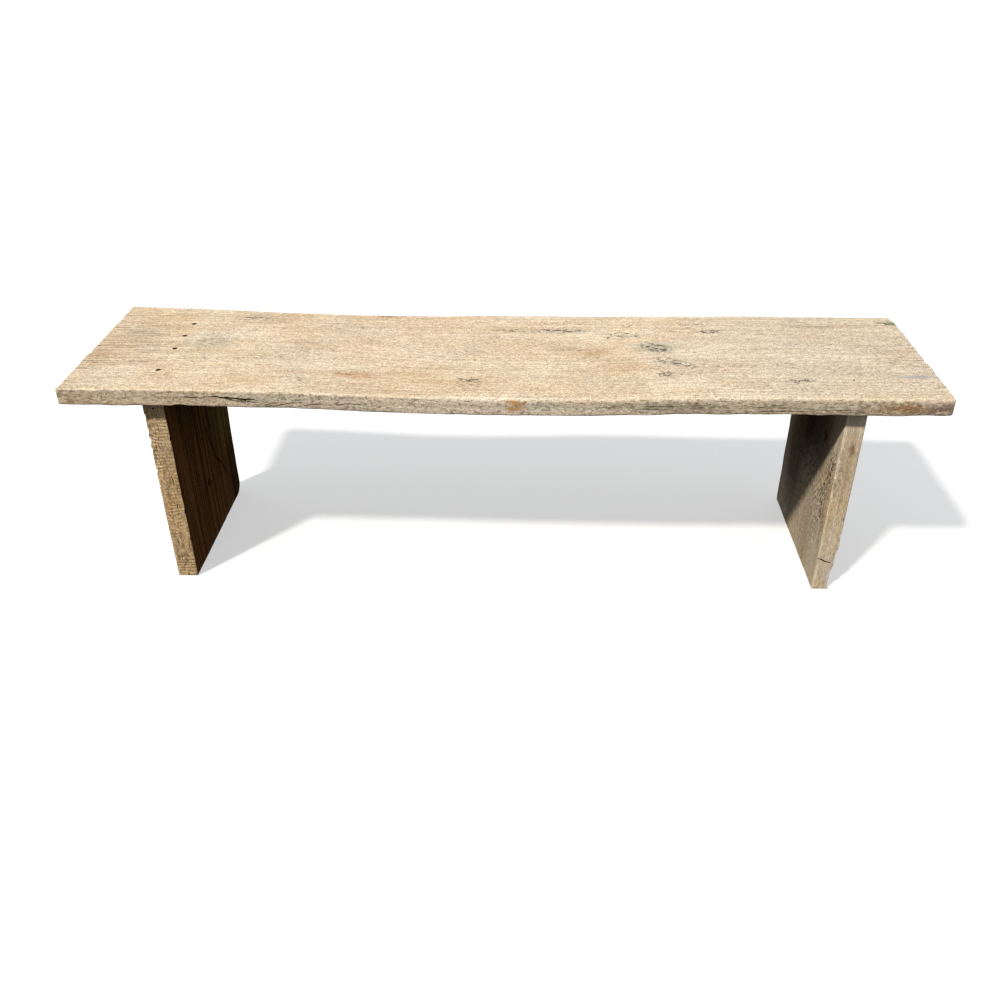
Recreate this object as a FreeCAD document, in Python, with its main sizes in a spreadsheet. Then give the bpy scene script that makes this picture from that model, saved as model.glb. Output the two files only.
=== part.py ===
"""Rustic backless bench: one old plank seat on two slab legs. Sizes in millimetres.

The seat is a single reclaimed board that has sagged a little between the legs. Its back edge
wanders in and out as the tree grew. Each leg is an upright board whose top end is housed in a
shallow stopped trench under the seat and held by a row of countersunk wood screws driven down
through the seat. A hardwood cleat in each inside corner is screwed to the leg and to the seat,
and keeps the bench from racking.

Frame: +X along the seat to the right, +Y to the back, +Z up. The origin is on the floor, at the
middle of the overall box.
"""

import FreeCAD, Part
import os
import Sketcher

# alias: (value in millimetres unless stated, what it is)
SIZES = {
    "bench_length": (1700, "overall length of the seat plank"),
    "seat_width": (430, "width of the seat plank at its widest, the left end"),
    "seat_height": (460, "floor to the top of the seat, over the legs"),
    "seat_thickness": (35, "thickness of the seat plank"),
    "seat_sag": (10, "dip of the seat at the middle of its span"),
    "back_in_shoulder": (8, "back edge inwards at the left shoulder"),
    "back_in_waist": (34, "back edge inwards at the waist, left of the middle"),
    "back_in_rise": (22, "back edge inwards where it comes out again"),
    "back_in_belly": (-2, "back edge inwards at the belly, right of the middle"),
    "back_in_fall": (22, "back edge inwards after the belly"),
    "back_in_neck": (17, "back edge inwards at the neck, before the right end"),
    "back_in_end": (23, "back edge inwards at the right end"),
    "worn_corner_length": (10, "worn back right corner, along the seat"),
    "worn_corner_width": (42, "worn back right corner, across the seat"),
    "front_corner_radius": (8, "rounding of the upright arris at the front right corner"),
    "seat_arris_radius": (4, "rounding of the seat's long arrises, and of the right end's"),
    "end_overhang": (150, "seat end to the outer face of the leg"),
    "left_leg_thickness": (43, "thickness of the left leg board"),
    "right_leg_thickness": (39, "thickness of the right leg board"),
    "left_leg_front_inset": (29, "seat front edge to the left leg's front edge"),
    "right_leg_front_inset": (24, "seat front edge to the right leg's front edge"),
    "left_leg_back_inset": (40, "seat back edge, at its widest, to the left leg's back edge"),
    "right_leg_back_inset": (43, "seat back edge, at its widest, to the right leg's back edge"),
    "leg_arris_radius": (2.5, "rounding of the leg's upright arrises"),
    "housing_depth": (10, "depth of the trench in the seat that takes the leg's top end"),
    "housing_clearance": (0.25, "gap on each side of the leg in its trench"),
    "left_heel_radius": (28, "rounding of the left leg's back bottom corner"),
    "spall_height": (97, "height of the split-off flake at the right leg's front foot"),
    "spall_ledge": (68, "height where the flake reaches its full thickness"),
    "spall_thickness": (9, "thickness of the flake, off the leg's outer face"),
    "spall_width": (26, "width of the flake, back from the leg's front edge"),
    "cleat_size": (34, "side of the square cleat section"),
    "cleat_end_inset": (56, "leg edge to the cleat's end"),
    "cleat_screw_end": (35, "cleat's end to its first screw"),
    "flat_margin": (14, "level part of the seat beyond the cleat"),
    "seat_screw_length": (95, "length of the screws through the seat"),
    "cleat_screw_length": (55, "length of the screws through the cleats"),
    "screw_diameter": (5, "screw shank"),
    "screw_head_diameter": (9, "screw head"),
    "screw_head_height": (3.5, "height of the countersunk head"),
    "screw_tip_length": (7, "taper at the screw's tip"),
    "screw_slot_width": (1.4, "width of the driver slot"),
    "screw_slot_depth": (1.6, "depth of the driver slot"),
    "counterbore_clearance": (0.3, "gap all round a head in the bore that sinks it in the seat"),
    "counterbore_depth": (5, "depth of the sunk heads below the seat's face"),
    "screw_front_distance": (60, "leg's front edge to the first seat screw"),
    "screw_back_distance": (62, "leg's back edge to the last seat screw"),
}

# How far along the row, from the first seat screw to the last, each one stands (shares).
SEAT_SCREW_SHARES = (0.0, 0.44, 0.725, 1.0)
# Where the poles of the back edge stand along the seat (shares of its length from the middle).
BACK_EDGE_STATIONS = (-0.406, -0.282, -0.118, 0.035, 0.194, 0.365)
# Where the poles of the sag stand between the two level ends (shares of half the span).
SAG_STATIONS = ((-0.667, 0), (-0.333, 1), (0, 1), (0.333, 1), (0.667, 0))
PARTS_FOLDER = "parts"

# Expressions that several sub-parts share.
HALF_LENGTH = "(Sizes.bench_length / 2)"
HALF_WIDTH = "(Sizes.seat_width / 2)"
UNDERSIDE = "(Sizes.seat_height - Sizes.seat_thickness)"
LEG_OUTER = f"({HALF_LENGTH} - Sizes.end_overhang)"
LEG_TOP = f"({UNDERSIDE} + Sizes.housing_depth)"
THICKER_LEG = "max(Sizes.left_leg_thickness; Sizes.right_leg_thickness)"
FLAT_END = f"({LEG_OUTER} - {THICKER_LEG} - Sizes.cleat_size - Sizes.flat_margin)"
LEFT, RIGHT = -1, 1


class LegLines:
    """Expressions for where one leg's faces, cleat and screws lie. Those along X are distances
    from the middle of the bench."""

    def __init__(self, side):
        self.side = side
        self.word = "left" if side == LEFT else "right"
        self.thickness = f"Sizes.{self.word}_leg_thickness"
        self.inner = f"({LEG_OUTER} - {self.thickness})"
        self.centre = f"({LEG_OUTER} - {self.thickness} / 2)"
        self.front = f"(-{HALF_WIDTH} + Sizes.{self.word}_leg_front_inset)"
        self.back = f"({HALF_WIDTH} - Sizes.{self.word}_leg_back_inset)"
        self.middle = f"(({self.front} + {self.back}) / 2)"
        self.cleat_front = f"({self.front} + Sizes.cleat_end_inset)"
        self.cleat_length = f"({self.back} - {self.front} - 2 * Sizes.cleat_end_inset)"
        self.cleat_pitch = f"(({self.cleat_length} - 2 * Sizes.cleat_screw_end) / 2)"
        self.first_screw = f"({self.front} + Sizes.screw_front_distance)"
        self.last_screw = f"({self.back} - Sizes.screw_back_distance)"


doc = FreeCAD.newDocument("Bench")


def make_sheet():
    """The spreadsheet of driving dimensions: name, value and meaning in each row."""
    sheet = doc.addObject("Spreadsheet::Sheet", "Sizes")
    for row, (alias, (value, meaning)) in enumerate(SIZES.items(), 1):
        sheet.set(f"A{row}", alias)
        sheet.set(f"B{row}", str(value))
        sheet.set(f"C{row}", meaning)
        sheet.setAlias(f"B{row}", alias)
    doc.recompute()
    return sheet


sheet = make_sheet()


def value_of(expression):
    """The number that an expression on the sheet gives now."""
    return float(sheet.evalExpression(expression))


def point_of(pair):
    """A sketch point from its two expressions."""
    return FreeCAD.Vector(value_of(pair[0]), value_of(pair[1]), 0)


# ---- sketches ----------------------------------------------------------------------------------


def bind_point(sketch, geometry, end, pair):
    """Holds one point of a sketch at the distances from its origin that two expressions give."""
    for kind, expression in zip(("DistanceX", "DistanceY"), pair):
        distance = Sketcher.Constraint(kind, -1, 1, geometry, end, value_of(expression))
        index = sketch.addConstraint(distance)
        sketch.setExpression(f"Constraints[{index}]", expression)


def join(sketch, first, second):
    """Makes one edge start where another one ends."""
    sketch.addConstraint(Sketcher.Constraint("Coincident", first, 2, second, 1))


def add_spline(sketch, poles):
    """A clamped cubic spline whose inner poles are held by expressions; its ends are free."""
    spans = len(poles) - 3
    curve = Part.BSplineCurve()
    curve.buildFromPolesMultsKnots(
        [point_of(pole) for pole in poles],
        [4] + [1] * (spans - 1) + [4],
        [float(knot) for knot in range(spans + 1)],
        False,
        3,
    )
    index = sketch.addGeometry(curve)
    sketch.exposeInternalGeometry(index)
    for number, pole in enumerate(poles[1:-1], 2):
        bind_point(sketch, index + number, 3, pole)
    return index


def closed_outline(sketch, corners, splines=None):
    """A closed loop through the corners. splines maps a corner's number to the inner poles of
    the spline that leaves it; a straight line leaves every other corner."""
    splines = splines or {}
    edges = []
    for number, corner in enumerate(corners):
        following = corners[(number + 1) % len(corners)]
        if number in splines:
            edges.append(add_spline(sketch, [corner, *splines[number], following]))
        else:
            line = Part.LineSegment(point_of(corner), point_of(following))
            edges.append(sketch.addGeometry(line))
    for number, edge in enumerate(edges):
        join(sketch, edge, edges[(number + 1) % len(edges)])
    for edge, corner in zip(edges, corners):
        bind_point(sketch, edge, 1, corner)


def rectangle(low, high):
    """The four corners of a rectangle, from two opposite ones."""
    return [low, (high[0], low[1]), high, (low[0], high[1])]


def body_sketch(body, name, plane, offset="0"):
    """A sketch on one of the body's own origin planes, moved along that plane's normal."""
    sketch = body.newObject("Sketcher::SketchObject", name)
    origin_plane = [f for f in body.Origin.OriginFeatures if f.Role == plane][0]
    sketch.AttachmentSupport = [(origin_plane, "")]
    sketch.MapMode = "FlatFace"
    sketch.setExpression(".AttachmentOffset.Base.z", offset)
    return sketch


# ---- solid features ----------------------------------------------------------------------------


def new_body(name, label):
    """An empty body."""
    body = doc.addObject("PartDesign::Body", name)
    body.Label = label
    return body


def pad(body, sketch, length, symmetric=False):
    """Pads a sketch along its normal."""
    feature = body.newObject("PartDesign::Pad", sketch.Name + "_pad")
    feature.Profile = sketch
    feature.SideType = "Symmetric" if symmetric else "One side"
    feature.setExpression("Length", length)
    doc.recompute()
    return feature


def pocket(body, sketch, length=None, upwards=False):
    """Cuts a sketch out of the body, through everything or to a length, and makes sure that
    it took something away."""
    before = body.Shape.Volume
    feature = body.newObject("PartDesign::Pocket", sketch.Name + "_pocket")
    feature.Profile = sketch
    feature.Reversed = upwards
    if length is None:
        feature.SideType = "Symmetric"
        feature.Type = "ThroughAll"
    else:
        feature.setExpression("Length", length)
    doc.recompute()
    if not body.Shape.Volume < before - 1:
        raise RuntimeError(f"{feature.Name} cut nothing")
    return feature


def round_edges(body, base, radius, wanted):
    """Rounds the edges of a feature that the test picks out."""
    names = [f"Edge{n}" for n, edge in enumerate(base.Shape.Edges, 1) if wanted(edge)]
    if not names:
        raise RuntimeError(f"no edge of {base.Name} is to be rounded")
    feature = body.newObject("PartDesign::Fillet", base.Name + "_fillet")
    feature.Base = (base, names)
    feature.setExpression("Radius", radius)
    doc.recompute()
    return feature


def is_upright(edge):
    """True for a straight edge along Z."""
    box = edge.BoundBox
    return box.XLength < 0.01 and box.YLength < 0.01 and box.ZLength > 1


# ---- screws ------------------------------------------------------------------------------------


def screw_profile(name, length, sunk=False):
    """Half the outline of a countersunk screw, head up, with its head's top face at the origin.
    A sunk one goes on upwards as the bore that takes the head below the surface."""
    head = "Sizes.screw_head_diameter / 2"
    shank = "Sizes.screw_diameter / 2"
    neck = "-Sizes.screw_head_height"
    corners = [
        (head, "0"),
        (shank, neck),
        (shank, f"-({length} - Sizes.screw_tip_length)"),
        ("0", f"-{length}"),
    ]
    if sunk:
        bore = f"{head} + Sizes.counterbore_clearance"
        top = "Sizes.counterbore_depth + 1"
        corners = [("0", top), (bore, top), (bore, "0"), *corners]
    else:
        corners = [("0", "0"), *corners]
    sketch = doc.addObject("Sketcher::SketchObject", name + "_profile")
    sketch.Placement.Rotation = FreeCAD.Rotation(FreeCAD.Vector(1, 0, 0), 90)
    closed_outline(sketch, corners)
    return sketch


def turned(name, profile):
    """A full turn of a profile about Z."""
    solid = doc.addObject("Part::Revolution", name)
    solid.Source = profile
    solid.Axis = FreeCAD.Vector(0, 0, 1)
    solid.Angle = 360
    solid.Solid = True
    return solid


def screw_blank(name, length):
    """The screw without its driver slot, which is also the shape of the hole it makes."""
    return turned(name + "_blank", screw_profile(name, length))


def slotted_screw(name, blank):
    """The finished screw, with a driver slot across its head."""
    slot = doc.addObject("Part::Box", name + "_slot")
    slot.setExpression("Length", "Sizes.screw_head_diameter + 2")
    slot.setExpression("Width", "Sizes.screw_slot_width")
    slot.setExpression("Height", "Sizes.screw_slot_depth + 1")
    slot.setExpression(".Placement.Base.x", "-(Sizes.screw_head_diameter + 2) / 2")
    slot.setExpression(".Placement.Base.y", "-Sizes.screw_slot_width / 2")
    slot.setExpression(".Placement.Base.z", "-Sizes.screw_slot_depth")
    screw = doc.addObject("Part::Cut", name)
    screw.Base = blank
    screw.Tool = slot
    return screw


def row_of(name, label, master, places, rotation):
    """Copies of one solid at the places that the expressions give, as one compound."""
    links = []
    for number, place in enumerate(places, 1):
        link = doc.addObject("App::Link", f"{name}_{number}")
        link.LinkedObject = master
        link.Placement = FreeCAD.Placement(FreeCAD.Vector(), rotation)
        for axis, expression in zip("xyz", place):
            link.setExpression(f".Placement.Base.{axis}", expression)
        links.append(link)
    compound = doc.addObject("Part::Compound", name)
    compound.Label = label
    compound.Links = links
    return compound


HEAD_UP = FreeCAD.Rotation()
HEAD_DOWN = FreeCAD.Rotation(FreeCAD.Vector(1, 0, 0), 180)


def head_towards(side):
    """The turn that lays a screw along X with its head facing the middle of the bench."""
    return FreeCAD.Rotation(FreeCAD.Vector(0, 1, 0), 90 * -side)


def seat_screw_places(leg):
    """Heads of the screws that go down through the seat into one leg."""
    span = f"({leg.last_screw} - {leg.first_screw})"
    height = "(Sizes.seat_height - Sizes.counterbore_depth)"
    return [
        (f"{leg.side} * {leg.centre}", f"{leg.first_screw} + {share} * {span}", height)
        for share in SEAT_SCREW_SHARES
    ]


def cleat_leg_places(leg):
    """Heads of the screws that hold one cleat to its leg."""
    inner_face = f"{leg.side} * ({leg.inner} - Sizes.cleat_size)"
    height = f"{UNDERSIDE} - Sizes.cleat_size / 2"
    return [
        (inner_face, f"{leg.middle} + {step} * {leg.cleat_pitch}", height)
        for step in (-1, 0, 1)
    ]


def cleat_seat_places(leg):
    """Heads of the screws that hold one cleat up to the seat, between the others."""
    centre = f"{leg.side} * ({leg.inner} - Sizes.cleat_size / 2)"
    lower_face = f"{UNDERSIDE} - Sizes.cleat_size"
    return [
        (centre, f"{leg.middle} + {step} * {leg.cleat_pitch}", lower_face)
        for step in (-0.5, 0.5)
    ]


# ---- boards ------------------------------------------------------------------------------------


def seat_side_profile(body):
    """The seat seen from the front: level over the legs, with a dip between them."""
    sketch = body_sketch(body, "seat_side", "XZ_Plane")

    def dip(height, stations):
        return [
            (f"{station} * {FLAT_END}", f"{height} - {depth} * Sizes.seat_sag")
            for station, depth in stations
        ]

    top = "Sizes.seat_height"
    corners = [
        (f"-{HALF_LENGTH}", UNDERSIDE),
        (f"-{FLAT_END}", UNDERSIDE),
        (FLAT_END, UNDERSIDE),
        (HALF_LENGTH, UNDERSIDE),
        (HALF_LENGTH, top),
        (FLAT_END, top),
        (f"-{FLAT_END}", top),
        (f"-{HALF_LENGTH}", top),
    ]
    dips = {1: dip(UNDERSIDE, SAG_STATIONS), 5: dip(top, SAG_STATIONS[::-1])}
    closed_outline(sketch, corners, dips)
    return sketch


def back_edge_trim(body):
    """What lies outside the wandering back edge and the worn back right corner."""
    sketch = body_sketch(body, "back_edge", "XY_Plane")
    names = ("shoulder", "waist", "rise", "belly", "fall", "neck")
    wander = [
        (f"{station} * Sizes.bench_length", f"{HALF_WIDTH} - Sizes.back_in_{name}")
        for station, name in zip(BACK_EDGE_STATIONS, names)
    ]
    end_y = f"{HALF_WIDTH} - Sizes.back_in_end"
    beyond_x, beyond_y = f"{HALF_LENGTH} + 20", f"{HALF_WIDTH} + 20"
    corners = [
        (f"-{HALF_LENGTH}", HALF_WIDTH),
        (f"{HALF_LENGTH} - Sizes.worn_corner_length", end_y),
        (HALF_LENGTH, f"{end_y} - Sizes.worn_corner_width"),
        (beyond_x, f"{end_y} - Sizes.worn_corner_width"),
        (beyond_x, beyond_y),
        (f"-{HALF_LENGTH}", beyond_y),
    ]
    closed_outline(sketch, corners, {0: wander})
    return sketch


def leg_trench(body, leg):
    """The stopped housing under the seat that takes one leg's top end."""
    sketch = body_sketch(body, leg.word + "_trench", "XY_Plane", UNDERSIDE)
    inner = f"{leg.side} * ({leg.inner} - Sizes.housing_clearance)"
    outer = f"{leg.side} * ({LEG_OUTER} + Sizes.housing_clearance)"
    front = f"{leg.front} - Sizes.housing_clearance"
    back = f"{leg.back} + Sizes.housing_clearance"
    closed_outline(sketch, rectangle((inner, front), (outer, back)))
    return sketch


def seat_board(legs):
    """The seat plank before it is screwed down."""
    body = new_body("SeatBoard", "seat_board")
    pad(body, seat_side_profile(body), "Sizes.seat_width", symmetric=True)
    base = pocket(body, back_edge_trim(body))
    half_length, half_width = value_of(HALF_LENGTH), value_of(HALF_WIDTH)

    def is_front_right_corner(edge):
        middle = edge.BoundBox.Center
        return is_upright(edge) and middle.x > half_length - 1 and middle.y < 1 - half_width

    base = round_edges(body, base, "Sizes.front_corner_radius", is_front_right_corner)

    # The sawn ends and the worn corner stay sharp.
    shortest = value_of("Sizes.end_overhang")
    round_edges(body, base, "Sizes.seat_arris_radius", lambda edge: edge.BoundBox.XLength > shortest)
    for leg in legs:
        pocket(body, leg_trench(body, leg), "Sizes.housing_depth", upwards=True)
    return body


def leg_board(leg):
    """One upright leg board, from the floor to the bottom of its trench."""
    body = new_body(leg.word + "_leg_body", leg.word + "_leg_board")
    start = f"-{LEG_OUTER}" if leg.side == LEFT else leg.inner
    sketch = body_sketch(body, leg.word + "_leg_face", "YZ_Plane", start)
    closed_outline(sketch, rectangle((leg.front, "0"), (leg.back, LEG_TOP)))
    base = pad(body, sketch, leg.thickness)
    back = value_of(leg.back)

    def is_heel(edge):
        middle = edge.BoundBox.Center
        return abs(middle.z) < 1 and abs(middle.y - back) < 1

    if leg.side == LEFT:
        base = round_edges(body, base, "Sizes.left_heel_radius", is_heel)
    round_edges(body, base, "Sizes.leg_arris_radius", is_upright)
    if leg.side == RIGHT:
        pocket(body, foot_spall(body, leg), "Sizes.spall_width")
    return body


def foot_spall(body, leg):
    """The flake that has split off the right leg's front outer foot, seen from the front."""
    sketch = body_sketch(body, "foot_spall", "XZ_Plane", f"-{leg.front}")
    full = f"{LEG_OUTER} - Sizes.spall_thickness"
    beyond = f"{LEG_OUTER} + 5"
    corners = [
        (full, "-5"),
        (beyond, "-5"),
        (beyond, "Sizes.spall_height"),
        (LEG_OUTER, "Sizes.spall_height"),
        (full, "Sizes.spall_ledge"),
    ]
    closed_outline(sketch, corners)
    return sketch


def cleat_block(leg):
    """One cleat, square in section, in the corner between its leg and the seat."""
    block = doc.addObject("Part::Box", leg.word + "_cleat_block")
    block.setExpression("Length", "Sizes.cleat_size")
    block.setExpression("Width", leg.cleat_length)
    block.setExpression("Height", "Sizes.cleat_size")
    low_x = f"-{leg.inner}" if leg.side == LEFT else f"{leg.inner} - Sizes.cleat_size"
    low_z = f"{UNDERSIDE} - Sizes.cleat_size"
    for axis, expression in zip("xyz", (low_x, leg.cleat_front, low_z)):
        block.setExpression(f".Placement.Base.{axis}", expression)
    return block


def drilled(name, label, board, *tools):
    """A board less the holes that its screws make."""
    holes = doc.addObject("Part::Compound", name + "_holes")
    holes.Links = list(tools)
    piece = doc.addObject("Part::Cut", name)
    piece.Label = label
    piece.Base = board
    piece.Tool = holes
    return piece


# ---- the bench ---------------------------------------------------------------------------------


def build():
    """Makes every sub-part and returns them."""
    seat_blank = screw_blank("seat_screw", "Sizes.seat_screw_length")
    seat_screw = slotted_screw("seat_screw", seat_blank)
    sunk = turned("seat_bore", screw_profile("seat_bore", "Sizes.seat_screw_length", sunk=True))
    cleat_blank = screw_blank("cleat_screw", "Sizes.cleat_screw_length")
    cleat_screw = slotted_screw("cleat_screw", cleat_blank)

    pieces, seat_holes = [], []
    legs = [LegLines(LEFT), LegLines(RIGHT)]
    for leg in legs:
        rows = (
            ("seat", seat_screw, sunk, seat_screw_places(leg), HEAD_UP),
            ("cleat_leg", cleat_screw, cleat_blank, cleat_leg_places(leg), head_towards(leg.side)),
            ("cleat_seat", cleat_screw, cleat_blank, cleat_seat_places(leg), HEAD_DOWN),
        )
        holes = {}
        for kind, screw, hole, places, turn in rows:
            name = f"{leg.word}_{kind}"
            pieces.append(row_of(name + "_row", name + "_screws", screw, places, turn))
            holes[kind] = row_of(name + "_bores", name + "_bores", hole, places, turn)
        boards = (
            ("leg", leg_board(leg), (holes["seat"], holes["cleat_leg"])),
            ("cleat", cleat_block(leg), (holes["cleat_leg"], holes["cleat_seat"])),
        )
        for kind, board, bores in boards:
            label = f"{leg.word}_{kind}"
            pieces.append(drilled(label + "_piece", label, board, *bores))
        seat_holes += [holes["seat"], holes["cleat_seat"]]
    pieces.append(drilled("seat_piece", "seat_plank", seat_board(legs), *seat_holes))
    doc.recompute()
    return pieces


def check(pieces):
    """Stops the build if any object failed or any sub-part's shape is unsound."""
    for item in doc.Objects:
        if {"Invalid", "Error"} & set(item.State):
            raise RuntimeError(f"{item.Name} failed: {item.State}")
    for piece in pieces:
        shape = piece.Shape
        if shape.isNull() or not shape.isValid() or not shape.Solids:
            raise RuntimeError(f"{piece.Label} has no sound shape")


def export(pieces):
    """Writes each sub-part to a STEP file named for its label."""
    os.makedirs(PARTS_FOLDER, exist_ok=True)
    for piece in pieces:
        piece.Shape.exportStep(f"{PARTS_FOLDER}/{piece.Label}.step")
        box = piece.Shape.optimalBoundingBox(False)
        volume = piece.Shape.Volume / 1000
        print(
            f"{piece.Label:26s} solids {len(piece.Shape.Solids)}  {volume:9.1f} cm3  "
            f"x {box.XMin:7.1f}..{box.XMax:7.1f}  y {box.YMin:7.1f}..{box.YMax:7.1f}  "
            f"z {box.ZMin:6.1f}..{box.ZMax:6.1f}"
        )


bench = build()
check(bench)
export(bench)
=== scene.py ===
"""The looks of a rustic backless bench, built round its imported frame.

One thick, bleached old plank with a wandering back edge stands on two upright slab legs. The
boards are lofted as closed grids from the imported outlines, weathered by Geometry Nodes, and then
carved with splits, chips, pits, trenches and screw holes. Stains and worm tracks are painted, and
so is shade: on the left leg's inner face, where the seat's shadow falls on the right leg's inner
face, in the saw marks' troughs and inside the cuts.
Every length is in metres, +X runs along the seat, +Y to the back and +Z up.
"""

import logging
import math
from collections.abc import Callable, Iterable, Mapping, Sequence
from dataclasses import dataclass, field
from enum import Enum

import bmesh
import bpy
import numpy as np
from mathutils import Euler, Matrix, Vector
from mathutils.bvhtree import BVHTree


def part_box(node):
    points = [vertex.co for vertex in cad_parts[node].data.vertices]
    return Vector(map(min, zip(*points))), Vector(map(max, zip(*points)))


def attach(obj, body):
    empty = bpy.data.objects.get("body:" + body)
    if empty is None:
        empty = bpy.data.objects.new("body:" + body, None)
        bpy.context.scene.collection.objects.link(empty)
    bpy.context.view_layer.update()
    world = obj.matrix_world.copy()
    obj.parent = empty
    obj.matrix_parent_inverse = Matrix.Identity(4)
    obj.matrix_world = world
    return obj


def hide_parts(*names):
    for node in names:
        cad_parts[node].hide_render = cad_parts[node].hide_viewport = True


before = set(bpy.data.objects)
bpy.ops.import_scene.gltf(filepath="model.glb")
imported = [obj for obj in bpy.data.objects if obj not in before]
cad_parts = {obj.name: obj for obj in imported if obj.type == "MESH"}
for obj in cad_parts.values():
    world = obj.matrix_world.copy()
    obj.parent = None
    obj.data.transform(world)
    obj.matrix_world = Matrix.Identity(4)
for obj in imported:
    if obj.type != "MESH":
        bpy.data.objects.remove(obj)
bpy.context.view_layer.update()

log = logging.getLogger("bench")

MM = 0.001
BODY = "root"

Colour = tuple[float, float, float, float]
Point = tuple[float, float, float]
Socket = bpy.types.NodeSocket
Wired = float | int | tuple | Vector | Socket


class Side(Enum):
    """Which end of the bench a piece belongs to; the value is its direction along X."""

    LEFT = -1
    RIGHT = 1

    @property
    def word(self) -> str:
        """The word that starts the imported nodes' names."""
        return self.name.lower()


class Grain(Enum):
    """Which way a board's fibres run; the value turns object space so that they run along X."""

    ALONG = (0.0, 0.0, 0.0)
    UPRIGHT = (0.0, math.pi / 2, 0.0)


class Breakup(Enum):
    """What breaks up a stain or a patch of painted shade."""

    NONE = 0
    SPECKS = 1
    STREAKS = 2


def paint(code: str) -> Colour:
    """Turns a hex paint code into the linear colour that a shader socket takes.

    Args:
        code: Six hexadecimal digits, such as "e4cfb0".

    Returns:
        Red, green, blue and alpha, linear.
    """
    shares = [int(code[i : i + 2], 16) / 255 for i in (0, 2, 4)]
    linear = [c / 12.92 if c <= 0.04045 else ((c + 0.055) / 1.055) ** 2.4 for c in shares]
    return (linear[0], linear[1], linear[2], 1.0)


def smooth_step(value: np.ndarray) -> np.ndarray:
    """Eases a ramp from 0 to 1 at both ends, and holds it there outside."""
    held = np.clip(value, 0.0, 1.0)
    return held * held * (3.0 - 2.0 * held)


def wander(places: np.ndarray, pitch: float, amount: float, seed: int) -> np.ndarray:
    """A smooth random line.

    Args:
        places: Where along the line the heights are wanted.
        pitch: Distance from one random knot to the next.
        amount: Largest height, up or down.
        seed: Which line.

    Returns:
        One height for each place.
    """
    steps = places / pitch
    first = int(math.floor(float(steps.min()))) - 1
    last = int(math.ceil(float(steps.max()))) + 2
    knots = np.random.default_rng(seed).uniform(-amount, amount, last - first + 1)
    index = np.floor(steps).astype(int) - first
    share = smooth_step(steps - np.floor(steps))
    return knots[index] * (1 - share) + knots[index + 1] * share


def new_object(name: str, mesh: bpy.types.Mesh) -> bpy.types.Object:
    """Puts a mesh into the scene as an object at the origin."""
    item = bpy.data.objects.new(name, mesh)
    bpy.context.scene.collection.objects.link(item)
    return item


def mesh_from(name: str, points: np.ndarray, faces: Iterable[Sequence[int]]) -> bpy.types.Mesh:
    """Makes a mesh, welds its doubles and turns its faces outwards.

    Args:
        name: The mesh's name.
        points: One row of X, Y, Z for each vertex.
        faces: Vertex numbers round each face.

    Returns:
        The mesh.
    """
    mesh = bpy.data.meshes.new(name)
    mesh.from_pydata(points.tolist(), [], [list(face) for face in faces])
    work = bmesh.new()
    work.from_mesh(mesh)
    bmesh.ops.remove_doubles(work, verts=work.verts, dist=1e-6)
    bmesh.ops.recalc_face_normals(work, faces=work.faces)
    work.to_mesh(mesh)
    work.free()
    return mesh


def tube_faces(rings: int, count: int, capped: bool = True) -> list[list[int]]:
    """Faces of a closed tube whose vertices are numbered ring by ring.

    Args:
        rings: Number of rings.
        count: Vertices in each ring.
        capped: Whether a face closes each end.

    Returns:
        Vertex numbers round each face.
    """
    ring = np.arange(count)
    after = (ring + 1) % count
    faces: list[list[int]] = []
    for number in range(rings - 1):
        low, high = number * count, (number + 1) * count
        faces += np.stack([low + ring, low + after, high + after, high + ring], 1).tolist()
    if capped:
        faces.append(ring[::-1].tolist())
        faces.append(((rings - 1) * count + ring).tolist())
    return faces


def settle(item: bpy.types.Object) -> bpy.types.Object:
    """Replaces an object's mesh with what its modifiers make of it, and drops them.

    Args:
        item: The object with live modifiers.

    Returns:
        The same object, with a plain mesh.
    """
    bpy.context.view_layer.update()
    graph = bpy.context.evaluated_depsgraph_get()
    result = bpy.data.meshes.new_from_object(
        item.evaluated_get(graph), preserve_all_data_layers=True, depsgraph=graph
    )
    item.modifiers.clear()
    item.data = result
    return item


class CadProbe:
    """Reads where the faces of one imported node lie."""

    def __init__(self, node: str) -> None:
        """Builds the search tree.

        Args:
            node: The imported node's name.
        """
        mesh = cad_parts[node].data
        corners = [vertex.co.copy() for vertex in mesh.vertices]
        self._tree = BVHTree.FromPolygons(corners, [tuple(p.vertices) for p in mesh.polygons])

    def reach(self, start: Point, towards: Point, axis: int) -> float:
        """Sends a ray and reads one coordinate of what it meets.

        Args:
            start: Where the ray starts.
            towards: Its direction.
            axis: Which coordinate is wanted.

        Returns:
            The coordinate of the first face met.
        """
        place = self._tree.ray_cast(Vector(start), Vector(towards))[0]
        if place is None:
            raise ValueError(f"no face of the packed part from {start}")
        return float(place[axis])


# ---- boards ------------------------------------------------------------------------------------


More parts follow.
